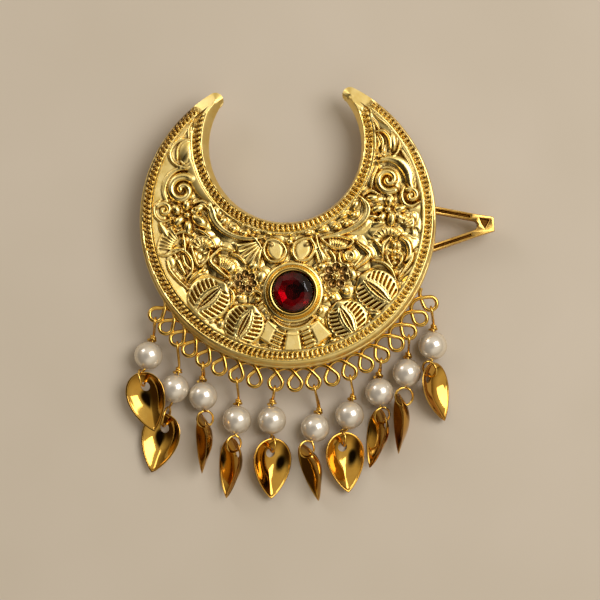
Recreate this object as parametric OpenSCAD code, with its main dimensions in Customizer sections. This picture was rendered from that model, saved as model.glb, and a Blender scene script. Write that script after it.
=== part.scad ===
// Crescent hair ornament with a ruby glass stone, ten pearl and leaf drops and a spring clip.
// It lies face up on the plane z = 0, with the horns towards +Y and the clip's nose towards +X.

/* [Crescent] */
// Radius of the crescent's outer edge
crescent_r = 26.6; // [26:0.1:27.2]
// Radius of the round notch between the horns
notch_r = 13.7; // [13.2:0.1:14]
// How far the notch's centre lies above the crescent's centre
notch_up = 13.3; // [13:0.1:13.5]
// Height of the back plate's underside above the surface
plate_z = 4.9; // [4.9:0.05:5.2]
// Thickness of the flat back plate
plate_t = 0.6; // [0.5:0.05:0.8]
// Height of the stamped front from its open back to the top of its rim
front_h = 2.3; // [2.1:0.05:2.6]
// Depth of the ornament's field below the top of the rim
field_drop = 0.45; // [0.3:0.05:0.6]
// Wall thickness of the stamped front
front_wall = 0.8; // [0.6:0.05:1]
// Distance between the ribs of the milled borders
rib_pitch = 0.9; // [0.88:0.01:1.1]

/* [Stone] */
// Radius of the stone at its girdle
stone_r = 4.0; // [3.9:0.05:4.1]
// Radius of the stone's flat table
table_r = 1.75; // [1.5:0.05:2.2]
// Outer radius of the setting
setting_r = 4.55; // [4.5:0.05:4.7]

/* [Loops and drops] */
// Number of wire loops along the lower edge
loop_count = 19; // [19:1:19]
// Radius of each loop, to the middle of its wire
loop_r = 1.2; // [1.15:0.01:1.2]
// Radius of the loop wire
loop_wire = 0.2; // [0.18:0.01:0.22]
// Radius of the wire that carries each pearl
drop_wire = 0.18; // [0.16:0.01:0.19]
// Radius of a pearl
pearl_r = 2.6; // [2.5:0.05:2.6]
// Length of a leaf
leaf_len = 11; // [10:0.1:11]
// Width of a leaf
leaf_wid = 7.3; // [6.8:0.1:7.4]
// Depth of a leaf's cup
leaf_deep = 1.9; // [1.6:0.1:2]
// Thickness of a leaf's sheet
leaf_wall = 0.4; // [0.35:0.05:0.45]

/* [Clip] */
// Distance from the hinge pin to the clip's nose
clip_nose = 20; // [19:0.5:20]
// Distance from the hinge pin to the end of the thumb tab
clip_tail = 9.5; // [9:0.5:9.5]
// Thickness of each jaw
jaw_t = 0.95; // [0.9:0.05:1]

/* [Hidden] */
$fn = 32;

gold = "#D4AF37";
pale_gold = "#E0C068";
ruby = "#7A0A22";
pearl_white = "#EFE9DF";
steel_gold = "#C8A850";

// Where the crescent's centre lies from the middle of the whole part
centre_x = -3.98;
centre_y = 13.19;
notch_c = [-0.5, notch_up];
// The two horns end at these angles from straight up, and their ornament ends lower
horn_ends = [-31.2, 26.2];
field_ends = [-43, 38.5];
fit_gap = 0.05;
front_z = plate_z + plate_t + fit_gap;
rim_z = front_z + front_h;
field_z = rim_z - field_drop;
field_inset = 2.3;

function up_dir(a) = [sin(a), cos(a)];
function unit(v) = v / norm(v);

// Points of a circle from one compass angle to another, in steps
function arc(c, r, a0, a1, n) = [for (i = [0:n]) c + r * up_dir(a0 + (a1 - a0) * i / n)];
// Distance from the crescent's centre to the notch's edge, in the direction a
function notch_reach(a) =
    let (along = up_dir(a) * notch_c)
    along + sqrt(along * along - notch_c * notch_c + notch_r * notch_r);
function band_half(a) = (crescent_r - notch_reach(a)) / 2;
function band_mid(a) = (crescent_r + notch_reach(a)) / 2 * up_dir(a);
function angle_from(c, p) = atan2(p[0] - c[0], p[1] - c[1]);

// The crescent seen from above, drawn in by inset, with its horns rounded off at ends
function crescent_outline(inset, ends) =
    let (left = ends[0], right = ends[1],
         left_r = band_half(left) - inset, right_r = band_half(right) - inset,
         notch_left = angle_from(notch_c, band_mid(left) - left_r * up_dir(left)),
         notch_right = angle_from(notch_c, band_mid(right) - right_r * up_dir(right)))
    concat(
        arc([0, 0], crescent_r - inset, right, 360 + left, 74),
        arc(band_mid(left), left_r, left + 15, left + 165, 8),
        arc(notch_c, notch_r + inset, 360 + notch_left, notch_right, 56),
        arc(band_mid(right), right_r, right - 165, right - 15, 8));

module placed() {
    translate([centre_x, centre_y, 0]) children();
}

module crescent_slab(z0, z1, inset, ends) {
    translate([0, 0, z0]) linear_extrude(z1 - z0) polygon(crescent_outline(inset, ends));
}

// Relief, cast in one with the front. Each motif stands on the field at z = 0.

// A ball that shows a cap of the given height
module boss(at, r, rise) {
    translate([at[0], at[1], rise - r]) sphere(r);
}

// A round bar that lies half sunk between two points
module bar(from, to, r, rise) {
    run = to - from;
    translate([from[0], from[1], rise - r])
        rotate([0, 90, atan2(run[1], run[0])]) cylinder(r = r, h = norm(run));
}

// A round bar bent along an arc, from angle a0 over the angle sweep
module bent_bar(at, bend_r, r, a0, sweep, rise) {
    translate([at[0], at[1], rise - r]) rotate([0, 0, a0])
        rotate_extrude(angle = sweep) translate([bend_r, 0]) circle(r);
}

// A spiral of three arcs round a ball
module scroll(at, size, turn, hand) {
    r = size * 0.17;
    translate([at[0], at[1], 0]) rotate([0, 0, turn]) mirror([0, hand > 0 ? 0 : 1, 0]) {
        bent_bar([0, 0], size * 0.83, r, 0, 178, r * 1.35);
        bent_bar([size * -0.17, 0], size * 0.66, r, 182, 176, r * 1.25);
        bent_bar([size * 0.06, 0], size * 0.43, r * 0.9, 4, 172, r * 1.15);
        boss([0, 0], size * 0.3, size * 0.24);
    }
}

// A flower of round petals about a raised centre
module flower(at, size, petals) {
    for (i = [0:petals - 1])
        boss(at + 0.64 * size * up_dir(360 * i / petals), size * 0.33, 0.42);
    boss(at, size * 0.3, 0.66);
}

// Both halves of a pointed oval, as long as len and as wide as wid
function pointed_oval(len, wid) =
    let (half = len / 2, bow = wid / 2, r = (half * half + bow * bow) / (2 * bow), a = asin(half / r))
    concat(
        [for (i = [0:10]) [r * sin(-a + a * i / 5), r * cos(-a + a * i / 5) - (r - bow)]],
        [for (i = [1:9]) [r * sin(a - a * i / 5), -r * cos(a - a * i / 5) + (r - bow)]]);

// A seed leaf: an open pod between two ribbed halves
module seed_leaf(at, len, wid, turn) {
    ribs = 5;
    translate([at[0], at[1], -0.1]) rotate([0, 0, turn]) {
        linear_extrude(0.38) polygon(pointed_oval(len, wid));
        difference() {
            linear_extrude(0.76) polygon(pointed_oval(len * 0.86, wid * 0.36));
            translate([0, 0, 0.45]) linear_extrude(1) polygon(pointed_oval(len * 0.62, wid * 0.16));
        }
        for (side = [-1, 1], i = [0:ribs - 1]) {
            x = len * (i - (ribs - 1) / 2) * 0.135;
            reach = wid / 2 * (1 - pow(2 * x / len, 2)) - 0.1;
            bar([x - 0.1, side * wid * 0.2], [x + 0.15, side * reach], 0.19, 0.6);
        }
    }
}

// Ribs that spread from a point, with a ball at their foot
module ribbed_fan(at, inner, outer, turn, spread, ribs) {
    for (i = [0:ribs - 1]) {
        a = turn + spread * (i / (ribs - 1) - 0.5);
        bar(at + inner * up_dir(a), at + outer * up_dir(a), 0.22, 0.36);
    }
    boss(at, inner * 0.75, 0.6);
}

// An almond eye: a ring with a ball in it
module almond(at, size, turn) {
    translate([at[0], at[1], -0.1]) rotate([0, 0, turn]) difference() {
        linear_extrude(0.6) polygon(pointed_oval(size * 2.1, size * 1.5));
        translate([0, 0, 0.3]) linear_extrude(1) polygon(pointed_oval(size * 1.35, size * 0.85));
    }
    boss(at, size * 0.27, 0.55);
}

// Three smooth keystones below the setting, with ribs between them
module keystones(at) {
    for (a = [152, 180, 208]) {
        w = 7;
        translate([0, 0, -0.1]) linear_extrude(0.5) polygon(concat(
            arc(at, 6.6, a - w, a + w, 3), arc(at, 10, a + w * 0.95, a - w * 0.95, 3)));
    }
    for (a = [166, 194], i = [0:4])
        bar(at + (6.9 + 0.72 * i) * up_dir(a - 5), at + (6.9 + 0.72 * i) * up_dir(a + 5), 0.19, 0.36);
}

// Motifs by place from the crescent's centre, read off the photo, left side and right side
scrolls = [
    // x, y, size, turn, hand
    [-19.3, 5.0, 3.0, 60, 1],
    [-22.0, 1.6, 1.6, 200, -1],
    [18.0, 7.2, 2.5, 100, -1],
    [22.3, 4.5, 1.5, -20, 1]];
flowers = [
    // x, y, size, petals
    [-7.6, -11.2, 2.0, 7],
    [8.5, -9.7, 2.2, 7],
    [-17.6, 0.9, 2.2, 6],
    [17.8, 1.6, 2.2, 6]];
seed_leaves = [
    // x, y, length, width, turn
    [-13.6, -13.9, 5.6, 5.2, 45],
    [-7.9, -18.0, 6.4, 5.2, 65],
    [15.4, -13.0, 6.0, 5.2, -36],
    [10.4, -17.6, 6.0, 5.0, -62]];
fans = [
    // x, y, foot, reach, turn, spread, ribs
    [-18.6, -5.6, 0.8, 3.0, -50, 120, 6],
    [18.9, -4.0, 0.8, 3.0, 40, 130, 6],
    [-6.2, -5.8, 0.6, 2.7, -60, 90, 5],
    [7.6, -5.4, 0.6, 2.7, 62, 90, 5]];
long_bends = [
    // x, y, bend radius, bar radius, start, sweep
    [-3.2, 2.2, 9.6, 0.42, 196, 62],
    [4.4, 2.0, 9.4, 0.42, 284, 62],
    [-14.3, -4.2, 8.2, 0.4, 196, 36],
    [15.0, -5.0, 7.6, 0.4, 312, 36],
    [-16.0, 11.5, 4.6, 0.4, 110, 80],
    [15.6, 12.5, 4.6, 0.4, -10, 80],
    [14.6, 8.2, 7.6, 0.38, -28, 70]];
bosses = [
    // x, y, radius, rise
    [0.4, -4.0, 0.75, 0.75],
    [15.7, -17.5, 0.9, 0.6],
    [-11.9, -18.7, 0.8, 0.55],
    [-18.9, 12.8, 1.1, 0.6],
    [18.0, 13.7, 1.1, 0.6],
    [-10.6, -1.2, 0.6, 0.5],
    [-8.9, -2.3, 0.6, 0.5],
    [10.9, -0.2, 0.6, 0.5],
    [9.4, -1.4, 0.6, 0.5],
    [-13.5, -8.0, 0.9, 0.6],
    [13.6, -6.6, 0.9, 0.6],
    [-18.7, -11.0, 0.8, 0.5],
    [20.6, -9.9, 0.8, 0.5]];
stone_c = [0.9, -13.0];

module relief() {
    for (s = scrolls) scroll([s[0], s[1]], s[2], s[3], s[4]);
    for (f = flowers) flower([f[0], f[1]], f[2], f[3]);
    for (l = seed_leaves) seed_leaf([l[0], l[1]], l[2], l[3], l[4]);
    for (f = fans) ribbed_fan([f[0], f[1]], f[2], f[3], f[4], f[5], f[6]);
    for (b = long_bends) bent_bar([b[0], b[1]], b[2], b[3], b[4], b[5], 0.6);
    for (b = bosses) boss([b[0], b[1]], b[2], b[3]);
    almond([-3.1, -4.9], 1.5, -20);
    almond([3.5, -4.9], 1.5, 20);
    keystones(stone_c);
    // Smooth collar round the setting
    translate([stone_c[0], stone_c[1], -0.1]) cylinder(r = setting_r + 0.9, h = 0.65);
}

// Ribs across a border, from one compass angle to another round a centre
module milled_border(c, r, a0, a1) {
    count = floor((a1 - a0) * PI / 180 * r / rib_pitch);
    for (i = [0:count]) {
        a = a0 + (a1 - a0) * i / count;
        bar(c + (r - 0.58) * up_dir(a), c + (r + 0.58) * up_dir(a), 0.34, 0.3);
    }
}

module crescent_front() {
    color(gold) placed() difference() {
        union() {
            difference() {
                union() {
                    crescent_slab(front_z, rim_z - 1.1, 0, horn_ends);
                    crescent_slab(front_z + 0.2, rim_z - 0.5, 0.3, horn_ends);
                    crescent_slab(front_z + 0.4, rim_z, 0.6, horn_ends);
                }
                crescent_slab(field_z, rim_z + 1, field_inset, field_ends);
            }
            translate([0, 0, rim_z]) milled_border([0, 0], crescent_r - 1.5, 33, 322);
            translate([0, 0, rim_z]) milled_border(notch_c, notch_r + 1.35, 58, 298);
            translate([0, 0, field_z]) relief();
        }
        // Open hollow at the back, and the well that the setting stands in
        crescent_slab(front_z - 1, field_z - front_wall, 1.35, field_ends);
        translate([stone_c[0], stone_c[1], field_z]) cylinder(r = setting_r + fit_gap, h = 3);
    }
}

// The setting: a plain cup with its lip turned in over the stone's girdle
module setting() {
    floor_t = 0.4;
    seat = 1.05;
    lip = 1.75;
    color(gold) placed() translate([stone_c[0], stone_c[1], field_z + fit_gap])
        rotate_extrude() polygon([
            [0, 0], [setting_r, 0], [setting_r, lip - 0.25], [setting_r - 0.25, lip],
            [stone_r - 0.2, lip], [stone_r - 0.2, lip - 0.15], [stone_r + 0.06, lip - 0.35],
            [stone_r + 0.06, seat - 0.15], [stone_r - 0.9, floor_t], [0, floor_t]]);
}

// The cut stone: a flat table, eight main facets, eight kite facets, a girdle and a blunt point
module stone() {
    crown_h = 0.95;
    girdle_h = 0.15;
    sides = 8;
    star = stone_r / cos(180 / sides);
    girdle_z = field_z + fit_gap + 1.05;
    color(ruby) placed() translate([stone_c[0], stone_c[1], girdle_z]) union() {
        intersection() {
            cylinder(r = stone_r, h = girdle_h + crown_h);
            translate([0, 0, girdle_h])
                cylinder(r1 = star + 0.05, r2 = table_r, h = crown_h, $fn = sides);
            translate([0, 0, girdle_h]) rotate([0, 0, 180 / sides])
                cylinder(r1 = star + 0.55, r2 = table_r * 0.98, h = crown_h, $fn = sides);
        }
        translate([0, 0, -0.12]) cylinder(r = stone_r, h = girdle_h + 0.13);
        translate([0, 0, -0.6]) cylinder(r1 = stone_r - 1.25, r2 = stone_r - 0.4, h = 0.5);
    }
}

// Loops stand round this centre at these angles, set by hand and so not quite even
loop_c = [0.3, 0];
loop_ring_r = 29.3;
loop_z = plate_z + plate_t / 2;
loop_angles = [234.8, 229.2, 223.5, 217.8, 211.8, 205.5, 199, 192.4, 184.9, 178.1, 171.7, 165,
    158.5, 152.1, 145.6, 139.1, 133.1, 126.9, 120.6];
function loop_angle(i) = loop_angles[i - 1];
function loop_centre(i) = loop_c + loop_ring_r * up_dir(loop_angle(i));

// One loop: an open ring whose two ends cross and are soldered to the plate's edge
module wire_loop(i) {
    neck = 2.9;
    spread = 0.55;
    translate([loop_centre(i)[0], loop_centre(i)[1], loop_z]) {
        rotate_extrude() translate([loop_r, 0]) circle(loop_wire);
        rotate([0, 0, 180 - loop_angle(i)]) for (side = [-1, 1])
            translate([side * spread, 1.0, 0]) rotate([-90, 0, side * 16])
                cylinder(r = loop_wire - 0.02, h = neck);
    }
}

// Clip, drawn with its hinge pin on the v axis at u = 0 and its nose at +u
clip_turn = 4;
clip_nose_c = [37.1, -0.55];
pin_c = clip_nose_c - clip_nose * [cos(clip_turn), sin(clip_turn)];
pin_z = 2.9;
pin_r = 0.5;
jaw_gap = 0.05;
top_jaw_z = plate_z - 1;
jaw_edge_z = 0.03;
// The lower jaw slopes from its nose, just under the upper jaw, to its tail on the surface
jaw_slope = atan((top_jaw_z - jaw_gap - jaw_t - jaw_edge_z) / (clip_nose + clip_tail));

module clip_frame() {
    placed() translate([pin_c[0], pin_c[1], 0]) rotate([0, 0, clip_turn]) children();
}

// Half of the jaw's outline, from the nose back to the tail, as u and v
function jaw_half(waist) = [
    [clip_nose, 1.3], [clip_nose - 3.3, 2.05], [clip_nose - 10.6, 4.0], [4.2, 5.3], [3.2, 5.3],
    [1.6, waist], [-clip_tail + 1, waist], [-clip_tail, waist - 1]];
function both_sides(half) = concat(half, [for (i = [len(half) - 1:-1:0]) [half[i][0], -half[i][1]]]);

module jaw_plan(waist) {
    window_rear = clip_nose - 11.3;
    difference() {
        polygon(both_sides(jaw_half(waist)));
        polygon(both_sides([[clip_nose - 3.0, 0.35], [clip_nose - 3.4, 0.75],
            [clip_nose - 4.4, 1.05], [window_rear, 2.9]]));
    }
}

// The channel pressed into each leg and into the nose of a jaw
module jaw_channels() {
    for (side = [-1, 1])
        polygon([[clip_nose - 3.4, side * 1.35], [clip_nose - 3.8, side * 1.72],
            [clip_nose - 11.2, side * 3.7], [clip_nose - 11.2, side * 3.25]]);
    polygon([[clip_nose - 0.5, -0.8], [clip_nose - 0.5, 0.8], [clip_nose - 2.4, 1.0],
        [clip_nose - 2.4, -1.0]]);
}

module ear(v, r, low, high) {
    width = 0.5;
    translate([0, v - width / 2, 0]) {
        translate([0, 0, pin_z]) rotate([-90, 0, 0]) cylinder(r = r, h = width);
        translate([-r * 0.96, 0, low]) cube([r * 1.92, width, high - low]);
    }
}

module upper_jaw() {
    clip_frame() difference() {
        union() {
            translate([0, 0, top_jaw_z]) difference() {
                linear_extrude(plate_z - top_jaw_z + 0.1) jaw_plan(3.9);
                translate([0, 0, 0.4]) linear_extrude(2) jaw_channels();
            }
            for (v = [-3.7, 3.7]) ear(v, 1.1, pin_z, top_jaw_z + 0.3);
        }
        translate([0, 0, pin_z]) rotate([90, 0, 0]) cylinder(r = pin_r + 0.03, h = 12, center = true);
        // The nose and legs stand clear below the crescent
        translate([8, -8, plate_z - 0.02]) cube([16, 16, 1]);
    }
}

module back_plate() {
    color(pale_gold) {
        placed() {
            crescent_slab(plate_z, plate_z + plate_t, 0.15, horn_ends);
            for (i = [1:loop_count]) wire_loop(i);
        }
        upper_jaw();
    }
}

module clip_jaw() {
    color(steel_gold) clip_frame() difference() {
        union() {
            translate([clip_nose, 0, top_jaw_z - jaw_gap - jaw_t]) rotate([0, -jaw_slope, 0])
                translate([-clip_nose, 0, 0]) linear_extrude(jaw_t) jaw_plan(3.35);
            for (v = [-3.1, 3.1]) ear(v, 0.85, 1.4, pin_z);
        }
        translate([0, 0, pin_z]) rotate([90, 0, 0]) cylinder(r = pin_r + 0.06, h = 12, center = true);
        translate([clip_nose, 0, top_jaw_z - jaw_gap - jaw_t]) rotate([0, -jaw_slope, 0])
            translate([-clip_nose, 0, -2 + jaw_t - 0.4]) linear_extrude(2) jaw_channels();
    }
}

module clip_pin() {
    half = 4.05;
    head = 0.25;
    color(steel_gold) clip_frame() translate([0, 0, pin_z]) rotate([90, 0, 0]) {
        cylinder(r = pin_r, h = 2 * half, center = true);
        for (side = [-1, 1]) translate([0, 0, side * (half + head / 2)])
            cylinder(r = pin_r + 0.3, h = head, center = true);
    }
}

// Turns of the coil on the pin, with the end that bears on the upper jaw
module clip_spring() {
    coil_r = 0.77;
    wire = 0.17;
    pitch = 0.3;
    turns = 13;
    color("silver") clip_frame() translate([0, 0, pin_z]) {
        for (i = [0:turns - 1]) translate([0, (i - (turns - 1) / 2) * pitch, 0])
            rotate([90, 0, 0]) rotate_extrude() translate([coil_r, 0]) circle(wire);
        translate([0, 0, coil_r]) rotate([0, -90, 0]) cylinder(r = wire - 0.02, h = 6);
    }
}

// Drops. Each hangs from its loop, with its pearl on the surface and its leaf beyond it.
eye_r = 0.7;
eye_off = 0.14;
wrap_r = 0.4;
wrap_len = 0.95;
hole_r = 0.85;
hole_x = 2.75;
// Rings seen in the photo: middle from the top of the leaf, along it and above it, and radius
ring_plain = [1.08, -0.42, 1.45];
ring_long = [0.6, -0.5, 1.8];
ring_flat = [0.98, -0.66, 1.47];
ring_wide = [0.6, -1.0, 1.62];
drops = [
    // loop, pearl x and y, way and reach to the ring, leaf heading, roll, pitch and lift, ring
    [1, -25.2, -24.2, -105, 3.9, -76, 14, 4, 1.9, ring_plain],
    [3, -20.4, -30.1, -107, 5.3, -104, 14, 4, 0, ring_long],
    [5, -15.3, -31.5, -84, 4.0, -90, 72, 12, 0, ring_flat],
    [7, -9.2, -35.8, -97, 4.0, -96, 57, 6, 0, ring_plain],
    [9, -2.9, -35.8, -89, 3.8, -92, -20, 4, 0, ring_plain],
    [11, 4.9, -37.2, -112, 4.0, -75, 66, 15, 0, ring_plain],
    [13, 11.1, -34.9, -106, 3.9, -85, -15, 4, 0, ring_plain],
    [15, 16.5, -30.8, -84, 4.0, -101, 63, 12, 0, ring_plain],
    [17, 21.4, -27.3, -97, 4.0, -90, 78, 8, 0, ring_wide],
    [19, 26.1, -22.4, -98, 3.9, -75, -47, 13, 0, ring_plain]];

// A point turned by roll about x, then pitch about y, then heading about z
function turned(p, roll, pitch, heading) =
    let (y1 = p[1] * cos(roll) - p[2] * sin(roll), z1 = p[1] * sin(roll) + p[2] * cos(roll),
         x2 = p[0] * cos(pitch) + z1 * sin(pitch), z2 = -p[0] * sin(pitch) + z1 * cos(pitch))
    [x2 * cos(heading) - y1 * sin(heading), x2 * sin(heading) + y1 * cos(heading), z2];

// Leaf outline: round at its top and pointed at its tip
leaf_steps = 28;
leaf_rings = 4;
leaf_mid = 4.7;
function leaf_edge(t) =
    [leaf_len / 2 * (1 + cos(t)), leaf_wid / 2 * 1.21 * sin(t) * pow(abs(sin(t / 2)), 0.7)];
function leaf_point(t, share, wall) =
    let (run = leaf_edge(t) - [leaf_mid, 0], drawn = run * (1 - wall / norm(run)))
    [leaf_mid + share * drawn[0], share * drawn[1],
     -(leaf_deep - wall) * (1 - pow(share, 2.3))];
function leaf_skin(wall) = concat(
    [[leaf_mid, 0, -(leaf_deep - wall)]],
    [for (k = [1:leaf_rings], i = [0:leaf_steps - 1])
        leaf_point(360 * i / leaf_steps, k / leaf_rings, wall)]);
leaf_outer = leaf_skin(0);
leaf_inner = leaf_skin(leaf_wall);

module leaf_form() {
    n = leaf_steps;
    count = 1 + n * leaf_rings;
    function at(k, i) = 1 + (k - 1) * n + i % n;
    last = leaf_rings;
    skin = concat(
        [for (i = [0:n - 1]) [0, at(1, i), at(1, i + 1)]],
        [for (k = [1:last - 1], i = [0:n - 1]) [at(k, i), at(k + 1, i), at(k + 1, i + 1)]],
        [for (k = [1:last - 1], i = [0:n - 1]) [at(k, i), at(k + 1, i + 1), at(k, i + 1)]]);
    rim = concat(
        [for (i = [0:n - 1]) [at(last, i), count + at(last, i), count + at(last, i + 1)]],
        [for (i = [0:n - 1]) [at(last, i), count + at(last, i + 1), at(last, i + 1)]]);
    difference() {
        polyhedron(
            points = concat(leaf_outer, leaf_inner),
            faces = concat(skin, [for (f = skin) [count + f[0], count + f[2], count + f[1]]], rim));
        translate([hole_x, 0, -3]) cylinder(r = hole_r, h = 4);
    }
}

// Heights at which each leaf and its ring just rest on the surface
function leaf_low(d) = min([for (p = leaf_outer) turned(p, d[6], d[7], d[5])[2]]);
function ring_at(d) = [d[9][0], 0, d[9][1]];
function ring_r(d) = d[9][2];
function ring_low(d) = min([for (a = [0:15:345])
    turned(ring_at(d) + ring_r(d) * [cos(a), 0, sin(a)], d[6], d[7], d[5])[2]]) - drop_wire;
function leaf_z(d) = 0.04 + d[8] - min(leaf_low(d), ring_low(d));
function ring_z(d) = leaf_z(d) + turned(ring_at(d), d[6], d[7], d[5])[2];
function pearl_c(d) = [d[1], d[2], pearl_r + 0.02];
function ring_c(d) =
    let (rise = pearl_c(d)[2] - ring_z(d), clear = pearl_r + ring_r(d) + drop_wire + 0.1,
         reach = max(d[4], sqrt(max(0, clear * clear - rise * rise))))
    [d[1] + reach * cos(d[3]), d[2] + reach * sin(d[3]), ring_z(d)];
function leaf_c(d) =
    let (off = turned(ring_at(d), d[6], d[7], d[5]), r = ring_c(d))
    [r[0] - off[0], r[1] - off[1], leaf_z(d)];
function level(v) = unit([v[0], v[1]]);
// The bore lies level between the way to the ring and the way to the loop, and slopes to the ring
function bore_dir(d) =
    let (from_ring = pearl_c(d) - ring_c(d),
         way = unit(level(from_ring) + 0.6 * level(loop_centre(d[0]) - [d[1], d[2]])))
    unit([way[0], way[1], from_ring[2] / norm([from_ring[0], from_ring[1]])]);
function neck_c(d) = pearl_c(d) + (pearl_r + wrap_len + 0.1) * bore_dir(d);
function eye_c(d) =
    let (loop = loop_centre(d[0]), way = level(neck_c(d) - [loop[0], loop[1], 0]))
    [loop[0] + (loop_r + eye_off) * way[0], loop[1] + (loop_r + eye_off) * way[1], loop_z];

// Turns children's z axis to the direction v
module aim(v) {
    rotate([0, acos(v[2] / norm(v)), atan2(v[1], v[0])]) children();
}

// A tube of six sides swept along a path
tube_sides = 6;
function tangents(path) = [for (i = [0:len(path) - 1])
    unit(path[min(i + 1, len(path) - 1)] - path[max(i - 1, 0)])];
function square_to(v, t) = unit(v - (v * t) * t);
function sections(path, r) =
    let (t = tangents(path),
         n = [for (i = 0, side = square_to([0.31, 0.27, 0.91], t[0]); i < len(path);
                   side = square_to(side, t[min(i + 1, len(path) - 1)]), i = i + 1) side])
    [for (i = [0:len(path) - 1], j = [0:tube_sides - 1])
        path[i] + r * (cos(360 * j / tube_sides) * n[i]
            + sin(360 * j / tube_sides) * cross(t[i], n[i]))];

module tube(path, r) {
    rings = len(path);
    m = tube_sides;
    function at(k, j) = k * m + j % m;
    polyhedron(
        points = sections(path, r),
        faces = concat(
            [[for (j = [0:m - 1]) at(0, j)], [for (j = [m - 1:-1:0]) at(rings - 1, j)]],
            [for (k = [0:rings - 2], j = [0:m - 1]) [at(k, j), at(k + 1, j), at(k + 1, j + 1)]],
            [for (k = [0:rings - 2], j = [0:m - 1]) [at(k, j), at(k + 1, j + 1), at(k, j + 1)]]));
}

// A point on a circle in the plane of a and k
function round_point(c, r, a, k, angle) = c + r * (cos(angle) * a + sin(angle) * k);

// The wire of one drop, from the ring through its leaf, up through the pearl and round its
// loop, and back to the wrap on the pearl
function drop_path(d) =
    let (pearl = pearl_c(d), b = bore_dir(d), ring = ring_c(d), eye = eye_c(d), r = ring_r(d),
         mouth = pearl - (pearl_r + 0.16) * b,
         ring_x = turned([1, 0, 0], d[6], d[7], d[5]),
         ring_k = turned([0, 0, 1], d[6], d[7], d[5]),
         near = unit(((mouth - ring) * ring_x) * ring_x + ((mouth - ring) * ring_k) * ring_k),
         far = ring_k * (near * ring_x) - ring_x * (near * ring_k),
         neck = neck_c(d),
         a = unit(neck - eye), k = square_to([0, 0, 1], a),
         side = square_to(k, b), across = cross(b, side))
    concat(
        [for (i = [18:-1:0]) round_point(ring, r, near, far, 18 + 328 * i / 18)],
        [mouth, pearl - (pearl_r - 0.3) * b, pearl, neck],
        [for (i = [0:8]) round_point(eye, eye_r, a, k, 65 + 230 * i / 8)],
        [for (i = [0:24]) pearl + (pearl_r + 0.22 + wrap_len * (24 - i) / 24) * b
            + wrap_r * (-cos(36 * i) * side - sin(36 * i) * across)]);

module drop_wire_part(d) {
    color(gold) placed() tube(drop_path(d), drop_wire);
}

module pearl_part(d) {
    color(pearl_white) placed() translate(pearl_c(d)) aim(bore_dir(d)) difference() {
        sphere(pearl_r);
        cylinder(r = drop_wire + 0.1, h = 3 * pearl_r, center = true);
    }
}

module leaf_part(d) {
    color(gold) placed() translate(leaf_c(d)) rotate([d[6], d[7], d[5]]) leaf_form();
}

crescent_front();
back_plate();
setting();
stone();
clip_jaw();
clip_pin();
clip_spring();
for (i = [1:10]) {
    drop_wire_part(drops[i - 1]);
    pearl_part(drops[i - 1]);
    leaf_part(drops[i - 1]);
}
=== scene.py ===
"""Dresses the crescent hair ornament: cast relief, setting and stone, clip, wires, pearls and leaves.

Sizes are in millimetres from the crescent's centre unless a name says otherwise, and every mesh is
moved to the part's frame, in metres, when it is made.
"""
import logging
import math
from collections.abc import Sequence
from dataclasses import dataclass, field
from enum import Enum

import bpy
import numpy as np
from mathutils import Euler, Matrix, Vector
from mathutils.geometry import tessellate_polygon


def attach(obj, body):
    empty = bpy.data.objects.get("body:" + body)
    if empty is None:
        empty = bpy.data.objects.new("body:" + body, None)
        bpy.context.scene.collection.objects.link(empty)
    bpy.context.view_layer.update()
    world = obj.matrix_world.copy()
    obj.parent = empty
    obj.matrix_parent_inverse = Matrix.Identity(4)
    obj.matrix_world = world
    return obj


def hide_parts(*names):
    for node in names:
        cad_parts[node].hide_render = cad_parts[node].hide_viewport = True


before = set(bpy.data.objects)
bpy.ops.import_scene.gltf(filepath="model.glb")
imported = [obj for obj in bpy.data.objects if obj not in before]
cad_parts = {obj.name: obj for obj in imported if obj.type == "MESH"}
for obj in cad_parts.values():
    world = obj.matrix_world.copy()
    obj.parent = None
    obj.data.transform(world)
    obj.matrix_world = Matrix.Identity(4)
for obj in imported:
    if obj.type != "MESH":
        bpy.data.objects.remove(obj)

LOG = logging.getLogger("crescent")

MM = 0.001
# Width of the photograph's pixels on the ornament.
PIXEL_MM = 0.18
# The crescent's centre in the part's frame, and the photograph's pixel that shows it.
CENTRE = np.array([-3.98, 13.19, 0.0])
CRESCENT_PIXEL = (288.0, 221.0)
# The setting's centre, and the photograph's pixel that shows it.
SETTING_CENTRE = (0.9, -13.0)
SETTING_PIXEL = (293.0, 293.2)
# Stands for a distance that is too long to matter.
FAR = 9.0
# Every new piece rides on this body. The lower jaw, on the other one, keeps its CAD shape.
BODY = "ornament"

Array = np.ndarray
Point = tuple[float, float]
Point3 = tuple[float, float, float]
Part = tuple[slice, slice]
Mesh = tuple[Array, Array | list]
Tree = bpy.types.NodeTree
Node = bpy.types.Node
Socket = bpy.types.NodeSocket


class Slot(Enum):
    """Material slots of the record; each new piece is handed one, which nothing reads."""

    RELIEF = "relief_gold"
    PLAIN = "plain_gold"
    WIRE = "wire_gold"
    LEAF = "leaf_gold"
    GLASS = "ruby_glass"
    PEARL = "pearl"


class Mark(Enum):
    """Values that a piece stores at its points for its finish to read."""

    # How much painted shade a place takes.
    PAINTED_SHADE = "painted_shade"
    SATIN = "satin"


def smooth(low: float, high: float, value: Array) -> Array:
    """Returns shares that rise smoothly from 0 at low to 1 at high, which may be the lower one."""
    share = np.clip((value - low) / (high - low), 0.0, 1.0)
    return share * share * (3.0 - 2.0 * share)


def compass(angle: Array | float) -> Array:
    """Returns the unit vector that lies at a clockwise angle in degrees from +Y."""
    turn = np.radians(angle)
    return np.stack([np.sin(turn), np.cos(turn)], axis=-1)


def unit(vector: Array) -> Array:
    """Returns the vector with length 1."""
    return vector / np.linalg.norm(vector)


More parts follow.
